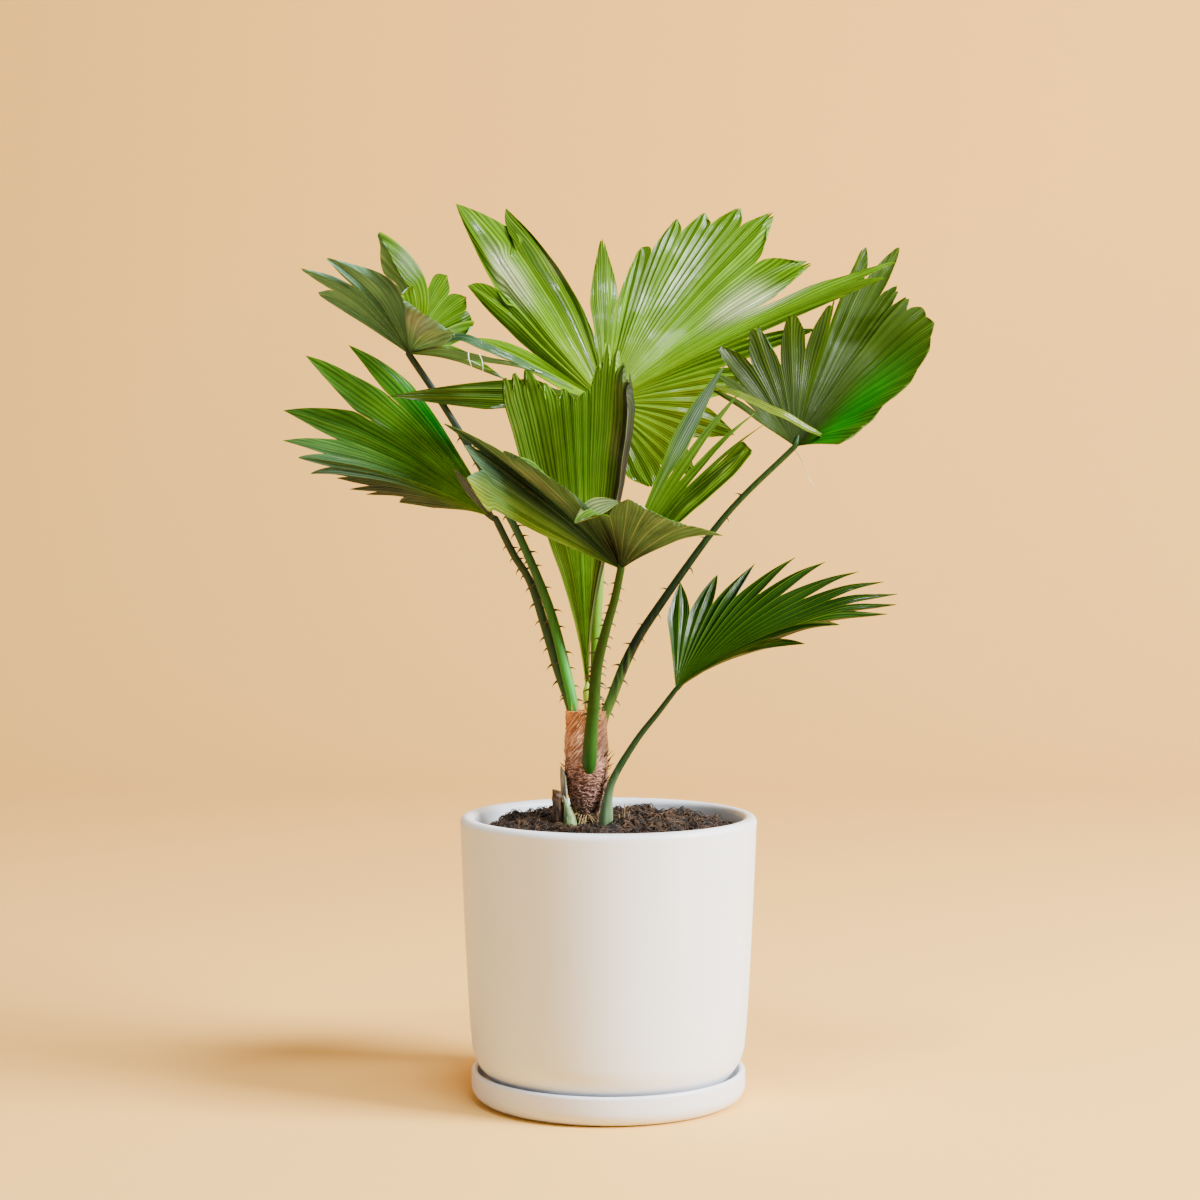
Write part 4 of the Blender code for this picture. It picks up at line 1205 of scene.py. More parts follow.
def build_stalk(frond):
    """Lay a rod along a stalk's knots and into its blade, and return the route of the stalk."""
    route = smooth_route(frond.stalk, 8)
    name = frond.node.replace("frond", "stalk")
    stalk = rod(name, route + blade_foot(frond))
    smooth(stalk, 50)
    skin = stalk_material(name.replace("_", " ") + " skin", frond.stalk_skin,
                          low=frond.stalk[0][2], high=frond.stalk[-1][2])
    place_piece(stalk, skin, frond.node)
    return route


stalk_routes = {frond.node: build_stalk(frond) for frond in FRONDS}

# %% [markdown]
# ## Loose strips
#
# Old fans tear. Some narrow strips of leaf have come free of their neighbours: one lies across
# the right fan's foot, one trails from the upper left fan, and a flap has folded over the front
# fan's rim. Others are a cut leaflet that leans out, a dull edge on the young fan and a worn
# ridge at the left fan's foot. Each strip is a grid laid along a curve and folded lightly along
# its length, so it has the same two skins, veins and thickness as the fans.

# %% Strips of leaf
@dataclass
class Strip:
    """A torn strip of leaf.

    knots: (x, y, z, half width) in millimetres, from one end to the other.
    facing: the direction that its upper side looks in.
    upper, under: colours of each side at its first end, its middle and its last end.
    folds: the number of folds across it.
    slot: the name of a colour slot; not used.
    """
    name: str
    knots: list
    facing: tuple
    upper: tuple
    under: tuple
    folds: int = 1
    slot: str = "pale_leaf"


STRIPS = [
    Strip("strip_across_right",
          [(74.5, -3, 228, 0.4), (69, -6, 230.5, 1.3), (59, -10, 235.5, 1.6), (49, -12, 240, 1.5),
           (40, -13.5, 243.5, 1.1), (33.5, -14, 246, 0.15)],
          (-0.2, -0.75, 0.65), ("#6C8A1C", "#7C9A24", "#6A8622"), ("#5A6A2C", "#5A6A2C", "#62743E"),
          slot="olive_leaf"),
    Strip("strip_trailing_left",
          [(-68, 5, 257, 0.4), (-60, 0, 259.5, 1.2), (-52, -3, 262, 1.9), (-45, -6, 260, 2.1),
           (-33, -9, 254.5, 1.6), (-21, -8, 249, 1.1), (-12, -6, 244.5, 0.15)],
          (0.2, -0.7, 0.7), ("#4C7A48", "#5A8E62", "#62905A"), ("#5E7C42", "#668C4C", "#6E8E5C"),
          folds=2),
    Strip("flap_upper_left",
          [(-67.5, 6, 257.5, 0.4), (-63, 0, 260, 2.6), (-58, -4, 262, 3.2), (-52.5, -6, 262.5, 0.3)],
          (-0.1, -0.9, -0.3), ("#6E8A66", "#7A9676", "#84A07E"), ("#5E7C42", "#668C4C", "#6E8E5C")),
    Strip("rim_flap_front",
          [(3, -43, 206.5, 0.4), (-1.5, -47, 205.5, 2.4), (-5.5, -50, 204, 3.0), (-9, -52, 201.5, 1.6),
           (-11, -53, 199.5, 0.2)],
          (0.1, -0.95, 0.3), ("#6E8448", "#7A9054", "#7E9458"), ("#5A6A2C", "#5A6A2C", "#62743E")),
    Strip("cut_leaf_front",
          [(14, -37, 193, 0.6), (20, -36, 199, 2.2), (28, -33, 207, 3.6), (37, -30, 215, 3.8),
           (45, -28, 223, 3.2), (46.5, -28, 224.5, 2.4)],
          (-0.25, -0.8, 0.5), ("#4E7A04", "#5A8606", "#5E7E14"), ("#4A5A34", "#526850", "#5A6C62"),
          folds=2),
    Strip("young_edge",
          [(2, -9.5, 203, 0.3), (5.4, -11.5, 219, 1.0), (6.9, -13.5, 232, 1.3), (7.3, -15, 242, 1.2),
           (7.0, -16, 249.5, 0.2)],
          (0.75, -0.65, 0.0), ("#3C4420", "#4A5034", "#525640"), ("#3E4420", "#464A2C", "#4A4E36"),
          folds=2, slot="bright_leaf"),
    Strip("ridge_left",
          [(-40, 5.5, 200.5, 0.5), (-44, 4, 205.5, 1.3), (-48.5, 3, 211, 1.4), (-53, 3, 217, 0.2)],
          (-0.3, -0.8, 0.5), ("#6A7268", "#7A8278", "#727A6C"), ("#5A6C62", "#5A6C62", "#5A6C62"),
          folds=3, slot="dark_leaf"),
]
print(len(STRIPS), "strips:", ", ".join(strip.name for strip in STRIPS))

# %% Laying the strips
STRIP_ROWS = 40
STRIP_PLEAT = 0.28
STRIP_WAVE_MM = 0.5
STRIP_WAVE_LENGTH_MM = 6.0


def build_strip(strip):
    """Lay a grid along the strip's curve, fold it, tint it, and give it the blade's thickness."""
    route = smooth_route(strip.knots, STRIP_ROWS // (len(strip.knots) - 1))
    rows = len(route) - 1
    bpy.ops.object.select_all(action="DESELECT")
    bpy.ops.mesh.primitive_grid_add(x_subdivisions=strip.folds * COLUMNS_PER_FOLD,
                                    y_subdivisions=rows, size=2, calc_uvs=True)
    leaf = bpy.context.object
    leaf.name = strip.name
    mesh = leaf.data
    mesh.name = strip.name
    facing = Vector(strip.facing).normalized()
    places = []
    for vertex in mesh.vertices:
        across, row = vertex.co.x, round((vertex.co.y + 1) / 2 * rows)
        knot = route[row]
        along = (route[min(row + 1, rows)].xyz - route[max(row - 1, 0)].xyz).normalized()
        out = along.cross(facing).normalized()
        up = out.cross(along)
        fold = fold_wave(across, strip.folds) * STRIP_PLEAT * knot.w / strip.folds
        wave = noise.noise(knot.xyz / STRIP_WAVE_LENGTH_MM) * STRIP_WAVE_MM
        vertex.co = (knot.xyz + out * across * knot.w + up * (fold + wave)) * MM
        places.append((across, row / rows))
    upper, under = tint_layers(mesh)
    uvs = mesh.uv_layers.active.data
    for loop in mesh.loops:
        across, share = places[loop.vertex_index]
        upper.data[loop.index].color = (*three_tone(strip.upper, share)[:3], 1.0)
        under.data[loop.index].color = (*three_tone(strip.under, share)[:3], 1.0)
        uvs[loop.index].uv = ((across + 1) / 2 * strip.folds, share)
    finish_sheet(leaf, glossy_leaf, dull_leaf)
    place_piece(leaf, None)


for strip in STRIPS:
    build_strip(strip)

# %% [markdown]
# ## Hanging threads
#
# A palm leaf tears along its veins, so a few bare veins hang from torn edges as pale threads.
# They are rods again, only far thinner, and all three are one mesh.

# %% Threads
THREADS = [
    [(64, 0, 223.8, 0.2), (66.7, -1, 219.5, 0.15), (69, -1.5, 213.5, 0.13), (72.5, -2, 210.7, 0.08)],
    [(-47.6, -8.5, 257, 0.2), (-47.4, -9, 254.6, 0.18), (-46.4, -9.4, 251.8, 0.08)],
    [(-44, -9, 256.5, 0.2), (-42.8, -9.5, 253.4, 0.18), (-42.6, -9.6, 249.6, 0.08)],
]


def thread_material():
    """A bare leaf vein: pale, dry and slightly glossy, like raffia."""
    material = new_material("bare pale leaf vein")
    place = add_node(material, "TexCoord")
    drift = add_node(material, "TexNoise", sockets={"Scale": 400.0},
                     links={"Vector": place.outputs["Object"]})
    tone = add_node(material, "ValToRGB", links={"Fac": drift.outputs["Fac"]},
                    stops=[(0.4, "#B4B488"), (0.6, "#E6E6CC")])
    vein = add_node(material, "BsdfPrincipled", sockets={"Roughness": 0.45},
                    links={"Base Color": tone.outputs["Color"]})
    add_node(material, "OutputMaterial", links={"Surface": vein.outputs[0]})
    return material


threads = strands("torn_threads", [smooth_route(knots, 6) for knots in THREADS], 1)
smooth(threads, 60)
place_piece(threads, thread_material())

# %% [markdown]
# ## Potting mix
#
# The mix is shredded coir and bark: dark lumps, small crumbs, and curled fibres in between. A
# bump map alone would leave its edge against the pot as straight as a table. So the bed is a
# turned mound pushed up and down by noise. A lump and a crumb are modelled once each and copied
# over it, the fibres are thin curled rods, and a small cushion of moss sits by the rim.

# %% Loose bits
def ridged(point):
    """Noise with sharp crests: 1 along worm-like lines, and down to -1 between them."""
    return 1 - 2 * min(1.0, 3 * abs(noise.noise(point)))


def scatter(name, template, matrices, palette, chooser):
    """Join moved copies of a template's mesh, each with a tint of its own from a palette."""
    form = bmesh.new()
    tint = form.loops.layers.float_color.new("bit_tint")
    counted = 0
    for matrix in matrices:
        copy = template.data.copy()
        copy.transform(matrix)
        form.from_mesh(copy)
        bpy.data.meshes.remove(copy)
        form.faces.ensure_lookup_table()
        colour = linear(chooser.choice(palette))
        lightness = chooser.uniform(0.75, 1.2)
        for face in form.faces[counted:]:
            face.smooth = True
            for loop in face.loops:
                loop[tint] = (*(c * lightness for c in colour[:3]), 1.0)
        counted = len(form.faces)
    mesh = bpy.data.meshes.new(name)
    form.to_mesh(mesh)
    form.free()
    obj = bpy.data.objects.new(name, mesh)
    bpy.context.scene.collection.objects.link(obj)
    bpy.data.objects.remove(template)
    return obj


print("ridged noise at one place:", round(ridged(Vector((0.3, 0.4, 0.5))), 2))

# %% Crumbs and their matter
CRUMB_BUMPS = 1.3


def crumb_template(subdivisions, roughness, chooser):
    """A rough lump of radius 1: a ball of triangles whose points are pushed in and out."""
    bpy.ops.object.select_all(action="DESELECT")
    bpy.ops.mesh.primitive_ico_sphere_add(subdivisions=subdivisions, radius=1.0)
    lump = bpy.context.object
    shift = Vector((chooser.random(), chooser.random(), chooser.random())) * 9
    for vertex in lump.data.vertices:
        vertex.co *= 1 + roughness * noise.noise(vertex.co * CRUMB_BUMPS + shift)
    return lump


def tinted_material(name, attribute, roughness, grain_mm, relief_mm, contrast):
    """Matt dry plant matter: a stored tint, broken up by grain of a real size."""
    material = new_material(name)
    tint = add_node(material, "Attribute", settings={"attribute_name": attribute})
    place = add_node(material, "TexCoord")
    grain = add_node(material, "TexNoise", sockets={"Scale": 1 / (grain_mm * MM), "Detail": 3.0},
                     links={"Vector": place.outputs["Object"]})
    shade = add_node(material, "MapRange", sockets={1: 0.3, 2: 0.7, 3: 1 - contrast, 4: 1 + contrast},
                     links={0: grain.outputs["Fac"]})
    colour = add_node(material, "VectorMath", settings={"operation": "SCALE"},
                      links={0: tint.outputs["Color"], "Scale": shade.outputs[0]})
    relief = add_node(material, "Bump", sockets={"Strength": 0.6, "Distance": relief_mm * MM},
                      links={"Height": grain.outputs["Fac"]})
    matter = add_node(material, "BsdfPrincipled",
                      sockets={"Roughness": roughness, "Specular IOR Level": 0.3},
                      links={"Base Color": colour.outputs[0], "Normal": relief.outputs["Normal"]})
    add_node(material, "OutputMaterial", links={"Surface": matter.outputs[0]})
    return material


def coir_material():
    """Dry coir fibre: dark to mid brown, changing from strand to strand."""
    material = new_material("dry coir fibre")
    place = add_node(material, "TexCoord")
    strand = add_node(material, "TexNoise", sockets={"Scale": 260.0, "Detail": 2.0},
                      links={"Vector": place.outputs["Object"]})
    tone = add_node(material, "ValToRGB", links={"Fac": strand.outputs["Fac"]},
                    stops=[(0.34, "#18100A"), (0.52, "#302015"), (0.7, "#66492F")])
    matter = add_node(material, "BsdfPrincipled", sockets={"Roughness": 0.7},
                      links={"Base Color": tone.outputs["Color"]})
    add_node(material, "OutputMaterial", links={"Surface": matter.outputs[0]})
    return material


print("bumps across a crumb:", CRUMB_BUMPS)

# %% Height of the bed
SOIL_RADIUS = 45.8
SOIL_EDGE_HEIGHT = 93.6
SOIL_CROWN = 2.8
SOIL_EDGE_DROP = 2.6
SOIL_EDGE_WIDTH = 10.0
LUMP_SPACING = 9.0
LUMP_HEIGHT = 2.6
ROUGH_SPACING = 3.0
ROUGH_HEIGHT = 0.5
FOOT_SPOT = (-8.0, -9.0)
FOOT_REACH = 16.0
FOOT_DIP = 2.0


def soil_height(x, y):
    """Height of the bed: a low mound, lumps about 9 mm apart, a finer roughness and a dip."""
    radius = math.hypot(x, y)
    mound = SOIL_EDGE_HEIGHT + SOIL_CROWN * (1 - (radius / SOIL_RADIUS) ** 2)
    mound -= SOIL_EDGE_DROP * eased(SOIL_RADIUS - SOIL_EDGE_WIDTH, SOIL_RADIUS, radius)
    lumps = noise.noise(Vector((x / LUMP_SPACING, y / LUMP_SPACING, 3.1))) * LUMP_HEIGHT
    rough = ridged(Vector((x / ROUGH_SPACING, y / ROUGH_SPACING, 7.7))) * ROUGH_HEIGHT
    from_foot = math.hypot(x - FOOT_SPOT[0], y - FOOT_SPOT[1])
    dip = FOOT_DIP * (1 - eased(FOOT_REACH / 2, FOOT_REACH, from_foot))
    return mound + lumps + rough - dip


print("bed at its middle and at its edge:", round(soil_height(0, 0), 1),
      round(soil_height(SOIL_RADIUS, 0), 1))

# %% Bed of soil
SOIL_DEPTH = 12.0
SOIL_RINGS = 46
BARK_BITS_PER_METRE = 450.0
BARK_RELIEF_MM = 0.8


def bark_soil_material():
    """Damp shredded bark and coir, which is dark, matt and broken up at every scale."""
    material = new_material("damp coir and bark")
    place = add_node(material, "TexCoord")
    lumps = add_node(material, "TexNoise",
                     sockets={"Scale": BARK_BITS_PER_METRE, "Detail": 5.0, "Roughness": 0.7},
                     links={"Vector": place.outputs["Object"]})
    tone = add_node(material, "ValToRGB", links={"Fac": lumps.outputs["Fac"]},
                    stops=[(0.35, "#1C120C"), (0.5, "#352217"), (0.68, "#5A3E29")])
    relief = add_node(material, "Bump",
                      sockets={"Strength": 0.9, "Distance": BARK_RELIEF_MM * MM},
                      links={"Height": lumps.outputs["Fac"]})
    matter = add_node(material, "BsdfPrincipled",
                      sockets={"Roughness": 0.9, "Specular IOR Level": 0.25},
                      links={"Base Color": tone.outputs["Color"], "Normal": relief.outputs["Normal"]})
    add_node(material, "OutputMaterial", links={"Surface": matter.outputs[0]})
    return material


def build_soil_bed():
    """Turn a flat round block with many rings on top, and lift the rings into a rough mound."""
    bottom = SOIL_EDGE_HEIGHT - SOIL_DEPTH
    outline = [(SOIL_RADIUS * ring / SOIL_RINGS, SOIL_EDGE_HEIGHT) for ring in range(SOIL_RINGS + 1)]
    outline += [(SOIL_RADIUS - 0.4, bottom), (0, bottom)]
    bed = turn("soil_bed", outline[::-1])
    for vertex in bed.data.vertices:
        if vertex.co.z > (SOIL_EDGE_HEIGHT - 1) * MM:
            vertex.co.z = soil_height(vertex.co.x / MM, vertex.co.y / MM) * MM
    smooth(bed, 50)
    place_piece(bed, bark_soil_material(), "soil")


build_soil_bed()

# %% Places of lumps and crumbs
chooser = random.Random(SEED)


def spot_on_soil(reach):
    """Random (x, y) in millimetres, spread evenly over the bed."""
    radius = reach * math.sqrt(chooser.random())
    angle = chooser.uniform(0, math.tau)
    return radius * math.cos(angle), radius * math.sin(angle)


def bit_matrix(reach, smallest, largest, flatness, clear=0.0):
    """Move, turn and size one bit so that it lies half sunk in the bed, clear of the bulb's foot."""
    x, y = spot_on_soil(reach)
    while math.hypot(x - FOOT_SPOT[0], y - FOOT_SPOT[1]) < clear:
        x, y = spot_on_soil(reach)
    size = smallest + (largest - smallest) * chooser.random() ** 2
    angle = chooser.uniform(0, math.tau)
    axis = Vector((chooser.uniform(-1, 1), chooser.uniform(-1, 1), 1)).normalized()
    turned = Matrix.Rotation(angle, 4, axis)
    sized = Matrix.Diagonal((size * MM, size * chooser.uniform(0.6, 1) * MM, size * flatness * MM, 1))
    return Matrix.Translation(Vector((x, y, soil_height(x, y) + size * 0.25)) * MM) @ turned @ sized


print("random numbers start from", SEED)

# %% Places of fibres and moss
FIBRE_STEPS = 5
FIBRE_LENGTHS = (2.5, 9.0)
FIBRE_RADII = (0.09, 0.2)
MOSS_SPOT = (8.0, -38.0)
MOSS_SPREAD = (2.4, 1.6)


def coir_fibre():
    """Route of one curled fibre that lies on the bed and lifts off it in places."""
    x, y = spot_on_soil(SOIL_RADIUS - 2.5)
    heading = chooser.uniform(0, math.tau)
    length = chooser.uniform(*FIBRE_LENGTHS)
    curl = chooser.uniform(-0.5, 0.5)
    lift = chooser.uniform(0.2, 1.9)
    route = []
    for step in range(FIBRE_STEPS + 1):
        share = step / FIBRE_STEPS
        height = soil_height(x, y) + 0.25 + lift * math.sin(math.pi * share)
        route.append((x, y, height, chooser.uniform(*FIBRE_RADII)))
        x += math.cos(heading) * length / FIBRE_STEPS
        y += math.sin(heading) * length / FIBRE_STEPS
        heading += curl
        if math.hypot(x, y) > SOIL_RADIUS:
            break
    return route


def moss_matrix():
    """One tuft of a small cushion of moss that grows by the rim."""
    x = chooser.gauss(MOSS_SPOT[0], MOSS_SPREAD[0])
    y = chooser.gauss(MOSS_SPOT[1], MOSS_SPREAD[1])
    size = chooser.uniform(0.3, 0.6) * MM
    place = Matrix.Translation(Vector((x, y, soil_height(x, y) + 0.6)) * MM)
    return place @ Matrix.Diagonal((size, size, size, 1))


print("the moss grows near", MOSS_SPOT, "mm")

# %% Lumps, crumbs, moss and fibres
LUMP_COUNT = 330
CRUMB_COUNT = 2400
MOSS_COUNT = 130
FIBRE_COUNT = 2300
LUMP_CLEARANCE = 13.0
SOIL_TONES = ["#120D09", "#1E1610", "#2B1F14", "#3A2A1A", "#4C3826"]
MOSS_TONES = ["#4E5A1E", "#6A7630", "#3A4416", "#7E8840"]


def build_soil_bits():
    """Scatter lumps and crumbs, then the moss, then the fibres. The order fixes where all lie."""
    lumps = [bit_matrix(SOIL_RADIUS - 4.0, 0.6, 1.9, 0.8, clear=LUMP_CLEARANCE)
             for _ in range(LUMP_COUNT)]
    crumbs = [bit_matrix(SOIL_RADIUS - 1.2, 0.3, 0.9, 0.7) for _ in range(CRUMB_COUNT)]
    matt = tinted_material("crumbled bark", "bit_tint", 0.9, 0.7, 0.3, 0.35)
    for name, template, matrices in (("soil_lumps", crumb_template(2, 0.9, chooser), lumps),
                                     ("soil_crumbs", crumb_template(1, 0.8, chooser), crumbs)):
        bits = scatter(name, template, matrices, SOIL_TONES, chooser)
        place_piece(bits, matt)
    moss = [moss_matrix() for _ in range(MOSS_COUNT)]
    cushion = scatter("moss_cushion", crumb_template(1, 0.8, chooser), moss, MOSS_TONES, chooser)
    place_piece(cushion, matt)
    fibres = strands("soil_fibres", [coir_fibre() for _ in range(FIBRE_COUNT)])
    place_piece(fibres, coir_material())


build_soil_bits()

# %% [markdown]
# ## The bulb and its fibre
#
# The plant's foot is a small bulb made of old leaf bases. Low down, their fibre lies in a
# wrinkled dark net. Higher up, it twists round the stalks in two pinkish columns. It's all one
# skin, so it starts as one turned form with very fine steps. Then each point is pushed out or in:
# by worm-shaped noise on the bulb, and by noise drawn out along a twist on the columns. The
# colour of each point comes from the same number, so the ridges are pale and the gaps dark,
# partly from the darker fibre below and partly as painted shade.

# %% Trunk form
TRUNK_X = -7.6
TRUNK_OUTLINE = [(91.0, 3.9), (98.0, 4.1), (101.5, 5.4), (106.0, 6.4), (112.0, 7.3), (116.0, 7.4),
                 (120.0, 6.6), (127.0, 6.0), (134.0, 5.9)]
COLUMN_START = 117.0
COLUMN_SWELL_LEFT = 1.1
COLUMN_SWELL_RIGHT = 1.0
COLUMN_WAIST = 1.6


def trunk_radius(height):
    """Radius of the bulb and its neck, in a straight line between the outline's knots."""
    for (low, narrow), (high, wide) in zip(TRUNK_OUTLINE, TRUNK_OUTLINE[1:]):
        if height <= high:
            share = max(0.0, (height - low) / (high - low))
            return narrow + (wide - narrow) * share
    return TRUNK_OUTLINE[-1][1]


def column_lobes(angle, height):
    """How far the neck swells into its left and right columns, and draws in between them."""
    left = COLUMN_SWELL_LEFT * max(0.0, -math.cos(angle)) ** 2
    right = COLUMN_SWELL_RIGHT * max(0.0, math.cos(angle)) ** 2
    waist = COLUMN_WAIST * abs(math.sin(angle)) ** 3
    return eased(COLUMN_START, COLUMN_START + 4, height) * (left + right - waist)


print("widest radius of the bulb:", max(radius for _, radius in TRUNK_OUTLINE), "mm")

# %% Relief of the fibre
TWIST_PER_MM = 0.13
SWAY_MM = 1.6
NET_WIDTH_MM = 2.7
NET_HEIGHT_MM = 0.4
STRAND_WIDTH_MM = 0.62
STRAND_LENGTH_MM = 5.0


def fibre_relief(angle, height, radius):
    """Height of the fibre on the skin: 1 on a strand and -1 in a gap."""
    around = Vector((math.cos(angle), math.sin(angle), 0)) * radius
    sway = noise.noise(around / 3.0 + Vector((0, 0, height / 4.0))) * SWAY_MM
    net = ridged(Vector((around.x / NET_WIDTH_MM, around.y / NET_WIDTH_MM,
                         (height + sway) / NET_HEIGHT_MM)))
    twisted = angle - height * TWIST_PER_MM
    strand_place = Vector((math.cos(twisted), math.sin(twisted), 0)) * radius
    strand = ridged(Vector((strand_place.x / STRAND_WIDTH_MM, strand_place.y / STRAND_WIDTH_MM,
                            height / STRAND_LENGTH_MM)))
    high_up = eased(COLUMN_START - 3, COLUMN_START + 2, height)
    return net * (1 - high_up) + strand * high_up


print("relief at the bulb's front:", round(fibre_relief(-math.pi / 2, 110, 7), 2))

# %% Tones of the fibre
# Each tone belongs to a height in millimetres.
LEFT_TONE = 1.15
RIGHT_DARKENING = 0.76
GAP_TONES = [(96, "#4A3A2C"), (104, "#3E2B28"), (112, "#4E342F"), (118, "#7A4E3A"), (134, "#9A6038")]
RIDGE_TONES = [(96, "#A08A64"), (100, "#94705F"), (108, "#9C7462"), (114, "#B58A72"),
               (120, "#D9A882"), (129, "#D99C68"), (134, "#DD9450")]


def tone_at(tones, height):
    """Colour at a height, from a list of (height, hex colour)."""
    for (low, one), (high, other) in zip(tones, tones[1:]):
        if height <= high:
            return blend(linear(one), linear(other), max(0.0, (height - low) / (high - low)))
    return linear(tones[-1][1])


def fibre_colour(place, relief):
    """Pale on a ridge and dark in a gap, with the right side of the neck darker than the left."""
    share = eased(-0.9, 0.9, relief)
    from_left = eased(-6.0, 6.0, place.x - TRUNK_X)
    on_neck = eased(COLUMN_START - 2, COLUMN_START + 3, place.z)
    # The neck is darker towards its right side.
    side_tone = LEFT_TONE - RIGHT_DARKENING * from_left * on_neck
    # Dark in a gap is partly the darker fibre below and partly painted shade.
    colour = blend(tone_at(GAP_TONES, place.z), tone_at(RIDGE_TONES, place.z), share)
    return (*(c * side_tone for c in colour[:3]), 1.0)


print("tone on a ridge at mid height:", [round(c, 2) for c in tone_at(RIDGE_TONES, 112)[:3]])

# %% Bulb
TRUNK_ROW_STEP = 0.3
TRUNK_TURN_STEPS = 180
FIBRE_HEIGHT = 0.3


def build_trunk():
    """Turn the bulb in fine steps, push its points by the relief, and tint each of them."""
    low, high = TRUNK_OUTLINE[0][0], TRUNK_OUTLINE[-1][0]
    rows = round((high - low) / TRUNK_ROW_STEP)
    heights = [low + (high - low) * row / rows for row in range(rows + 1)]
    outline = [(0, low)] + [(trunk_radius(height), height) for height in heights] + [(0, high)]
    trunk = turn("fibrous_bulb", outline, TRUNK_TURN_STEPS)
    reliefs = []
    for vertex in trunk.data.vertices:
        place = vertex.co / MM
        radius = math.hypot(place.x, place.y)
        angle = math.atan2(place.y, place.x)
        relief = fibre_relief(angle, place.z, max(radius, 1.0))
        reliefs.append(relief)
        if radius > 1:
            swollen = radius + column_lobes(angle, place.z) + relief * FIBRE_HEIGHT
            place.xy *= swollen / radius
        vertex.co = (place + Vector((TRUNK_X, 0, 0))) * MM
    tint = trunk.data.color_attributes.new("fibre_tint", "FLOAT_COLOR", "POINT")
    for vertex, relief in zip(trunk.data.vertices, reliefs):
        tint.data[vertex.index].color = fibre_colour(vertex.co / MM, relief)
    smooth(trunk, 60)
    skin = tinted_material("palm fibre net", "fibre_tint", 0.75, 0.35, 0.12, 0.2)
    place_piece(trunk, skin, "trunk")


build_trunk()

# %% [markdown]
# ## Loose ends of fibre
#
# Where old leaf bases broke off, dark stiff points stick out of the bulb below its neck. Pale
# straw lies round its foot, three points of husk stand to its right, and orange threads run up
# the stalks from the top of the columns. All are thin rods that taper to a point.

# %% Pointed rods
POINT_STEPS = 4
POINT_TAPER = 0.8
POINT_TIP = 0.02


def pointed_route(start, direction, length, radius, droop):
    """Route of a thin pointed rod that leaves along a direction and bends down or up."""
    route = []
    for step in range(POINT_STEPS + 1):
        share = step / POINT_STEPS
        point = start + direction * length * share + Vector((0, 0, droop * length * share ** 2))
        route.append((*point, radius * (1 - share) ** POINT_TAPER + POINT_TIP))
    return route


def around_trunk(angle, height, inset):
    """Point on the bulb at an angle and a height, moved in by an inset so that it's rooted."""
    radius = trunk_radius(height) - inset
    return Vector((TRUNK_X + radius * math.cos(angle), radius * math.sin(angle), height))


print("a pointed rod has", len(pointed_route(Vector(), Vector((0, 0, 1)), 1, 1, 0)), "knots")

# %% Spikes, skirt and threads
SPIKE_COUNT = 95
SKIRT_COUNT = 110
THREAD_COUNT = 70


def dark_spikes():
    """Stiff dark points, about half of them on the right, and none in the middle of the front."""
    routes = []
    for _ in range(SPIKE_COUNT):
        side = chooser.choice((0, 0, 0, math.pi, math.pi / 2, -math.pi / 2))
        angle = side + chooser.gauss(0, 0.45)
        if abs(math.sin(angle)) > 0.8 and math.sin(angle) < 0:
            continue
        start = around_trunk(angle, chooser.uniform(104, 118), 0.4)
        outward = Vector((math.cos(angle), math.sin(angle), chooser.uniform(0.5, 1.6))).normalized()
        length, radius = chooser.uniform(1.2, 4.4), chooser.uniform(0.16, 0.3)
        routes.append(pointed_route(start, outward, length, radius, 0.1))
    return routes


def straw_skirt():
    """Pale straw that lies outwards all round the foot."""
    routes = []
    for number in range(SKIRT_COUNT):
        angle = math.tau * number / SKIRT_COUNT + chooser.uniform(-0.05, 0.05)
        start = around_trunk(angle, chooser.uniform(97.2, 99.2), 0.2)
        outward = Vector((math.cos(angle), math.sin(angle), chooser.uniform(-0.5, 0.1)))
        turned = Matrix.Rotation(chooser.uniform(-0.8, 0.8), 3, "Z") @ outward
        length, radius = chooser.uniform(2.0, 5.5), chooser.uniform(0.14, 0.26)
        routes.append(pointed_route(start, turned, length, radius, -0.25))
    return routes


def orange_threads():
    """Soft fibre that runs up from the top of the columns, on the left, right and front."""
    routes = []
    for _ in range(THREAD_COUNT):
        angle = chooser.choice((math.pi, 0, -math.pi / 2)) + chooser.gauss(0, 0.5)
        start = around_trunk(angle, chooser.uniform(129, 133.5), chooser.uniform(0, 2.5))
        rise = Vector((chooser.uniform(-0.15, 0.15), chooser.uniform(-0.1, 0.1), 1.0))
        length, radius = chooser.uniform(2.0, 6.5), chooser.uniform(0.12, 0.28)
        routes.append(pointed_route(start, rise, length, radius, 0.0))
    return routes


print("loose ends to lay:", SPIKE_COUNT + SKIRT_COUNT + THREAD_COUNT)

# %% Fibre on the bulb and stalks
def dry_fibre_material(name, dark_hex, pale_hex, roughness):
    """Dry torn fibre, darker where it is old, with a tone that drifts along each strand."""
    material = new_material(name)
    place = add_node(material, "TexCoord")
    drift = add_node(material, "TexNoise", sockets={"Scale": 500.0, "Detail": 2.0},
                     links={"Vector": place.outputs["Object"]})
    tone = add_node(material, "ValToRGB", links={"Fac": drift.outputs["Fac"]},
                    stops=[(0.35, dark_hex), (0.65, pale_hex)])
    matter = add_node(material, "BsdfPrincipled", sockets={"Roughness": roughness},
                      links={"Base Color": tone.outputs["Color"]})
    add_node(material, "OutputMaterial", links={"Surface": matter.outputs[0]})
    return material


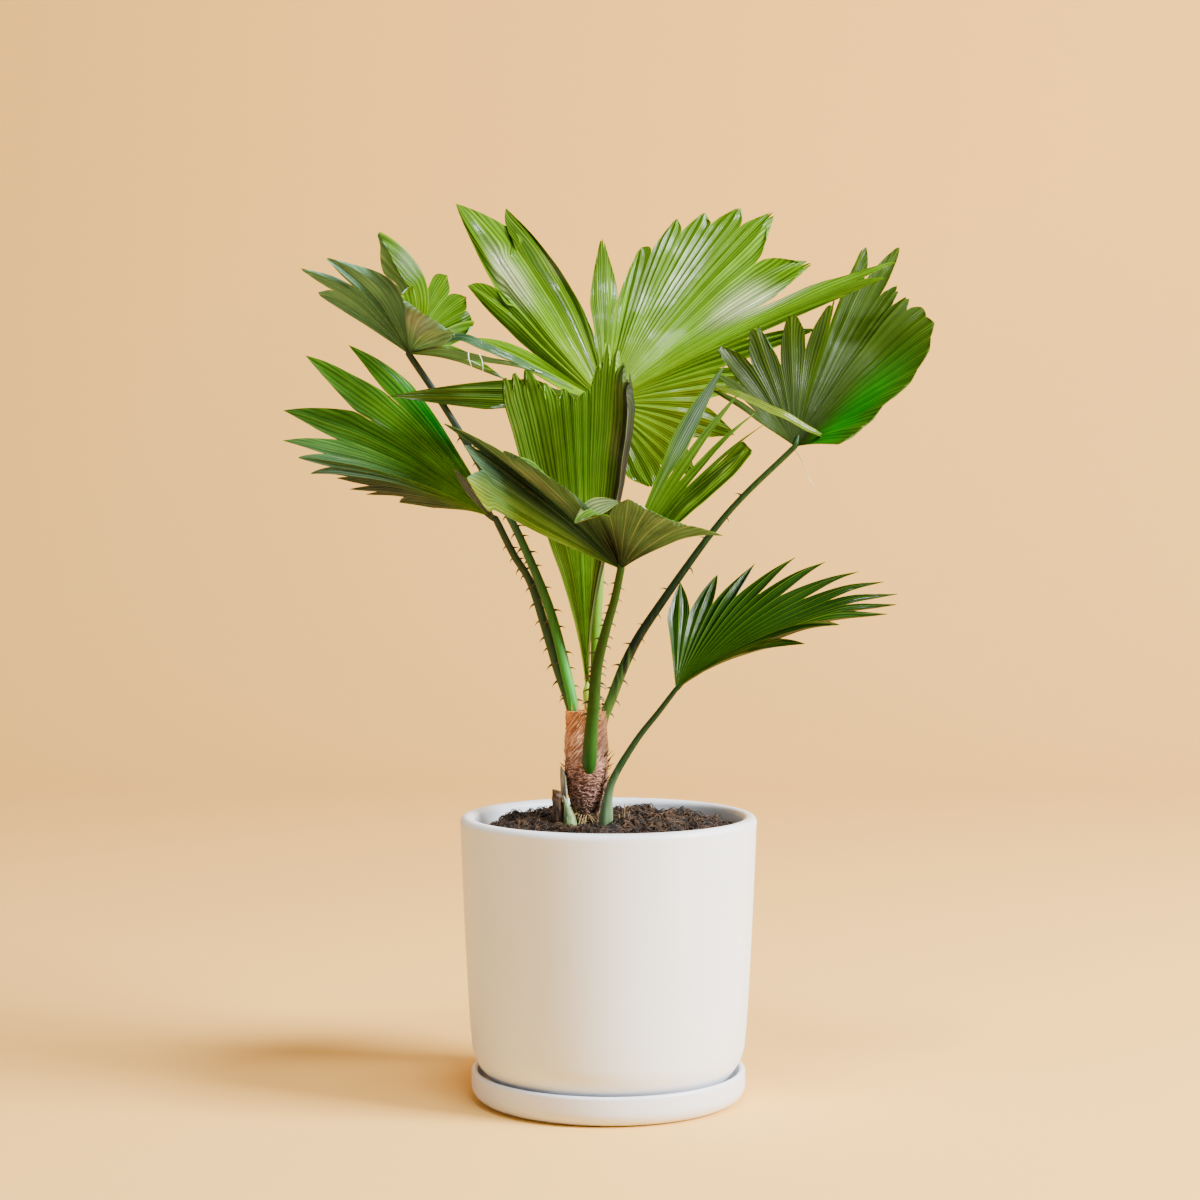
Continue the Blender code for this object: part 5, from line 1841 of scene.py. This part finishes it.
HUSK_STRANDS = [[(5.0, -9, 91, 0.7), (5.0, -9, 97, 0.65), (5.6, -9.4, 103, 0.12)],
                [(6.0, -9.2, 91, 0.6), (6.2, -9.2, 96, 0.55), (7.2, -9.8, 101, 0.1)],
                [(4.2, -8.8, 91, 0.5), (4.0, -9, 95, 0.45), (3.6, -9.6, 99.5, 0.1)]]

# Each piece: its name, its routes, and its material's name, darkest and palest tone, and roughness.
LOOSE_ENDS = [
    ("foot_husk", HUSK_STRANDS, ("dry husk", "#6E5538", "#A58C66", 0.75)),
    ("bulb_spikes", dark_spikes(), ("dark stiff fibre", "#2B1A12", "#5E3B28", 0.6)),
    ("bulb_skirt", straw_skirt(), ("pale straw", "#8C7048", "#CDB284", 0.7)),
    ("stalk_threads", orange_threads(), ("orange fibre", "#A0622E", "#E0A462", 0.65)),
]
for name, routes, finish in LOOSE_ENDS:
    piece = strands(name, routes, 1)
    place_piece(piece, dry_fibre_material(*finish))

# %% [markdown]
# ## Small stems at the foot
#
# Three short things stand by the bulb: a grey strip of dry sheath, a brown stub of a cut leaf,
# and a young green shoot. The strip is a curved plate with a ragged top. The stub and the shoot
# are tapered rods, one cut on a slant and the other drawn to a point. All three have stripes
# along them, because the fibres inside show through the skin.

# %% Striped skin
STRIPE_STRETCH = 14
STRIPE_RELIEF_MM = 0.25


def striped_material(name, dark_hex, pale_hex, stripe_mm, roughness, tint_hex=None):
    """Dry or green plant skin with lengthwise stripes, as fibres show through it."""
    material = new_material(name)
    place = add_node(material, "TexCoord")
    across = 1 / (stripe_mm * MM)
    along = 1 / (STRIPE_STRETCH * stripe_mm * MM)
    drawn_out = add_node(material, "Mapping", sockets={"Scale": (across, across, along)},
                         links={"Vector": place.outputs["Object"]})
    stripes = add_node(material, "TexNoise",
                       sockets={"Scale": 1.0, "Detail": 3.0, "Roughness": 0.6},
                       links={"Vector": drawn_out.outputs[0]})
    stops = [(0.36, dark_hex), (0.64, pale_hex)]
    if tint_hex:
        stops.append((0.72, tint_hex))
    tone = add_node(material, "ValToRGB", links={"Fac": stripes.outputs["Fac"]}, stops=stops)
    relief = add_node(material, "Bump",
                      sockets={"Strength": 0.7, "Distance": STRIPE_RELIEF_MM * MM},
                      links={"Height": stripes.outputs["Fac"]})
    skin = add_node(material, "BsdfPrincipled", sockets={"Roughness": roughness},
                    links={"Base Color": tone.outputs["Color"], "Normal": relief.outputs["Normal"]})
    add_node(material, "OutputMaterial", links={"Surface": skin.outputs[0]})
    return material


print("a stripe is", STRIPE_STRETCH, "times longer than wide")

# %% Dry sheath strip
SHEATH_RADIUS = 8.7
SHEATH_FIRST_DEGREES = 178
SHEATH_LAST_DEGREES = 228
SHEATH_LOW = 90.5
SHEATH_HIGH = 115.0
SHEATH_THICKNESS = 0.5
SHEATH_TEAR = 3.0
SHEATH_SLANT = 2.5
SHEATH_TAPER = 0.25
SHEATH_FOOT_INSET = 1.6
SHEATH_RIPPLE = 0.25


def build_sheath_strip():
    """Bend a grid round the bulb, tear its top edge, and give it thickness."""
    bpy.ops.object.select_all(action="DESELECT")
    bpy.ops.mesh.primitive_grid_add(x_subdivisions=12, y_subdivisions=36, size=2)
    strip = bpy.context.object
    strip.name = "dry_sheath_strip"
    for vertex in strip.data.vertices:
        across, up = (vertex.co.x + 1) / 2, (vertex.co.y + 1) / 2
        tear = SHEATH_TEAR * abs(noise.noise(Vector((across * 5, 0.3, 0))))
        tear += SHEATH_SLANT * across ** 2
        height = SHEATH_LOW + (SHEATH_HIGH - tear - SHEATH_LOW) * up
        turned = (SHEATH_LAST_DEGREES - SHEATH_FIRST_DEGREES) * across * (1 - SHEATH_TAPER * up)
        angle = math.radians(SHEATH_FIRST_DEGREES + turned)
        radius = SHEATH_RADIUS - SHEATH_FOOT_INSET * (1 - up) ** 2
        radius += SHEATH_RIPPLE * noise.noise(Vector((across * 6, up * 3, 5)))
        place = Vector((TRUNK_X + radius * math.cos(angle), radius * math.sin(angle), height))
        vertex.co = place * MM
    apply_modifier(strip, "SOLIDIFY", thickness=SHEATH_THICKNESS * MM, offset=0.0)
    smooth(strip, 40)
    skin = striped_material("dry grey sheath", "#6E6A58", "#B0AC98", 0.5, 0.7)
    place_piece(strip, skin, "old_sheath")


build_sheath_strip()

# %% Cut stub
STUB_KNOTS = [(-16.8, -5.4, 90, 2.0), (-17.0, -5.4, 97, 2.1), (-17.3, -5.2, 103, 2.0),
              (-17.6, -5.1, 107, 1.8)]
WRINKLE_LENGTH = 1.1
WRINKLE_DEPTH = 0.45
CUT_HEIGHT = 104
CUT_SLANT = 0.4


def build_stub():
    """A cut leaf foot: a rod with a slanted cut and a skin wrinkled by drying."""
    stub = rod("cut_leaf_stub", smooth_route(STUB_KNOTS, 8), 6)
    for vertex in stub.data.vertices:
        place = vertex.co / MM
        spot = place / WRINKLE_LENGTH
        aside = noise.noise(spot), noise.noise(spot + Vector((5, 0, 0)))
        place.xy += Vector(aside) * WRINKLE_DEPTH
        if place.z > CUT_HEIGHT:
            place.z -= (place.x - STUB_KNOTS[-1][0]) * CUT_SLANT
        vertex.co = place * MM
    smooth(stub, 40)
    skin = striped_material("dead brown leaf foot", "#22150C", "#5E4226", 0.8, 0.75, "#8A7A38")
    place_piece(stub, skin, "cut_stub")


build_stub()

# %% Young shoot
SHOOT_KNOTS = [(-12.8, -8.2, 88, 2.6), (-13.0, -8.0, 93, 2.5), (-13.3, -7.6, 97.5, 2.0),
               (-14.2, -7.2, 101.5, 1.1), (-15.4, -7.1, 105.5, 0.12)]
SHOOT_RIDGES = 7
RIDGE_HEIGHT = 0.14
RIDGE_TWIST = 0.12


def build_shoot():
    """A young shoot: one pointed core with the ridges of its tightly rolled leaf."""
    shoot = rod("young_shoot_core", smooth_route(SHOOT_KNOTS, 8), 6)
    for vertex in shoot.data.vertices:
        place = vertex.co / MM
        angle = math.atan2(place.y - SHOOT_KNOTS[0][1], place.x - SHOOT_KNOTS[0][0])
        ridge = RIDGE_HEIGHT * math.sin(SHOOT_RIDGES * angle + place.z * RIDGE_TWIST)
        place.x += ridge * math.cos(angle)
        place.y += ridge * math.sin(angle)
        vertex.co = place * MM
    smooth(shoot, 50)
    skin = striped_material("young green shoot", "#4E6B34", "#8CA468", 0.5, 0.45)
    place_piece(shoot, skin, "young_shoot")


build_shoot()

# %% [markdown]
# ## Thorns
#
# Both edges of a stalk carry hooked thorns, longest near the foot. One thorn is modelled as a
# bent, tapered rod, and each copy is turned so that it leaves its stalk sideways and points back
# down. They are brown, and a few are still greenish.

# %% Places of thorns
THORN_LENGTH = 1.6
THORN_RADIUS = 0.4
FOOT_THORN_SIZE = 1.5
THORN_SHRINK = 0.55


def thorn_template():
    """One hooked thorn that leaves along X and bends down, with its root at the origin."""
    route = [(-0.35, 0, 0.1, THORN_RADIUS * 1.2), (0.3, 0, 0.05, THORN_RADIUS * 0.85),
             (0.9, 0, -0.2, THORN_RADIUS * 0.5), (1.45, 0, -0.62, THORN_RADIUS * 0.24),
             (THORN_LENGTH, 0, -1.15, 0.03)]
    return strands("thorn", [route], 1)


def thorn_matrices(frond, route):
    """Where the thorns stand: in turn on both edges, smaller towards the blade."""
    first, last, count = frond.spines
    matrices = []
    for number in range(2 * count):
        share = first + (last - first) * (number + 0.5) / (2 * count)
        side = 1 if number % 2 else -1
        index = min(int(share * (len(route) - 1)), len(route) - 2)
        start, end = route[index], route[index + 1]
        along = (end.xyz - start.xyz).normalized()
        outward = (along.cross(Vector((0, 1, 0))) * side).normalized()
        across = along.cross(outward)
        size = (FOOT_THORN_SIZE - THORN_SHRINK * share) * chooser.uniform(0.75, 1.15)
        axes = Matrix((outward, across, along)).transposed().to_4x4()
        place = Matrix.Translation((start.xyz + outward * start.w * 0.9) * MM)
        matrices.append(place @ axes @ Matrix.Scale(size, 4))
    return matrices


print("a thorn near the foot is about", FOOT_THORN_SIZE * THORN_LENGTH, "mm long")

# %% Thorns
THORN_TONES = ["#3A2A14", "#4E3C1C", "#2E2212", "#3E4420"]


def thorn_material():
    """Horny thorn: hard, smooth and brown, like a fingernail."""
    material = new_material("brown horn of a thorn")
    tint = add_node(material, "Attribute", settings={"attribute_name": "bit_tint"})
    place = add_node(material, "TexCoord")
    grain = add_node(material, "TexNoise", sockets={"Scale": 900.0},
                     links={"Vector": place.outputs["Object"]})
    shade = add_node(material, "MapRange", sockets={1: 0.3, 2: 0.7, 3: 0.8, 4: 1.15},
                     links={0: grain.outputs["Fac"]})
    colour = add_node(material, "VectorMath", settings={"operation": "SCALE"},
                      links={0: tint.outputs["Color"], "Scale": shade.outputs[0]})
    horn = add_node(material, "BsdfPrincipled", sockets={"Roughness": 0.35},
                    links={"Base Color": colour.outputs[0]})
    add_node(material, "OutputMaterial", links={"Surface": horn.outputs[0]})
    return material


horn = thorn_material()
for frond in FRONDS:
    if frond.spines[2]:
        template = thorn_template()
        matrices = thorn_matrices(frond, stalk_routes[frond.node])
        name = frond.node.replace("frond", "thorns")
        thorns = scatter(name, template, matrices, THORN_TONES, chooser)
        place_piece(thorns, horn, frond.node)
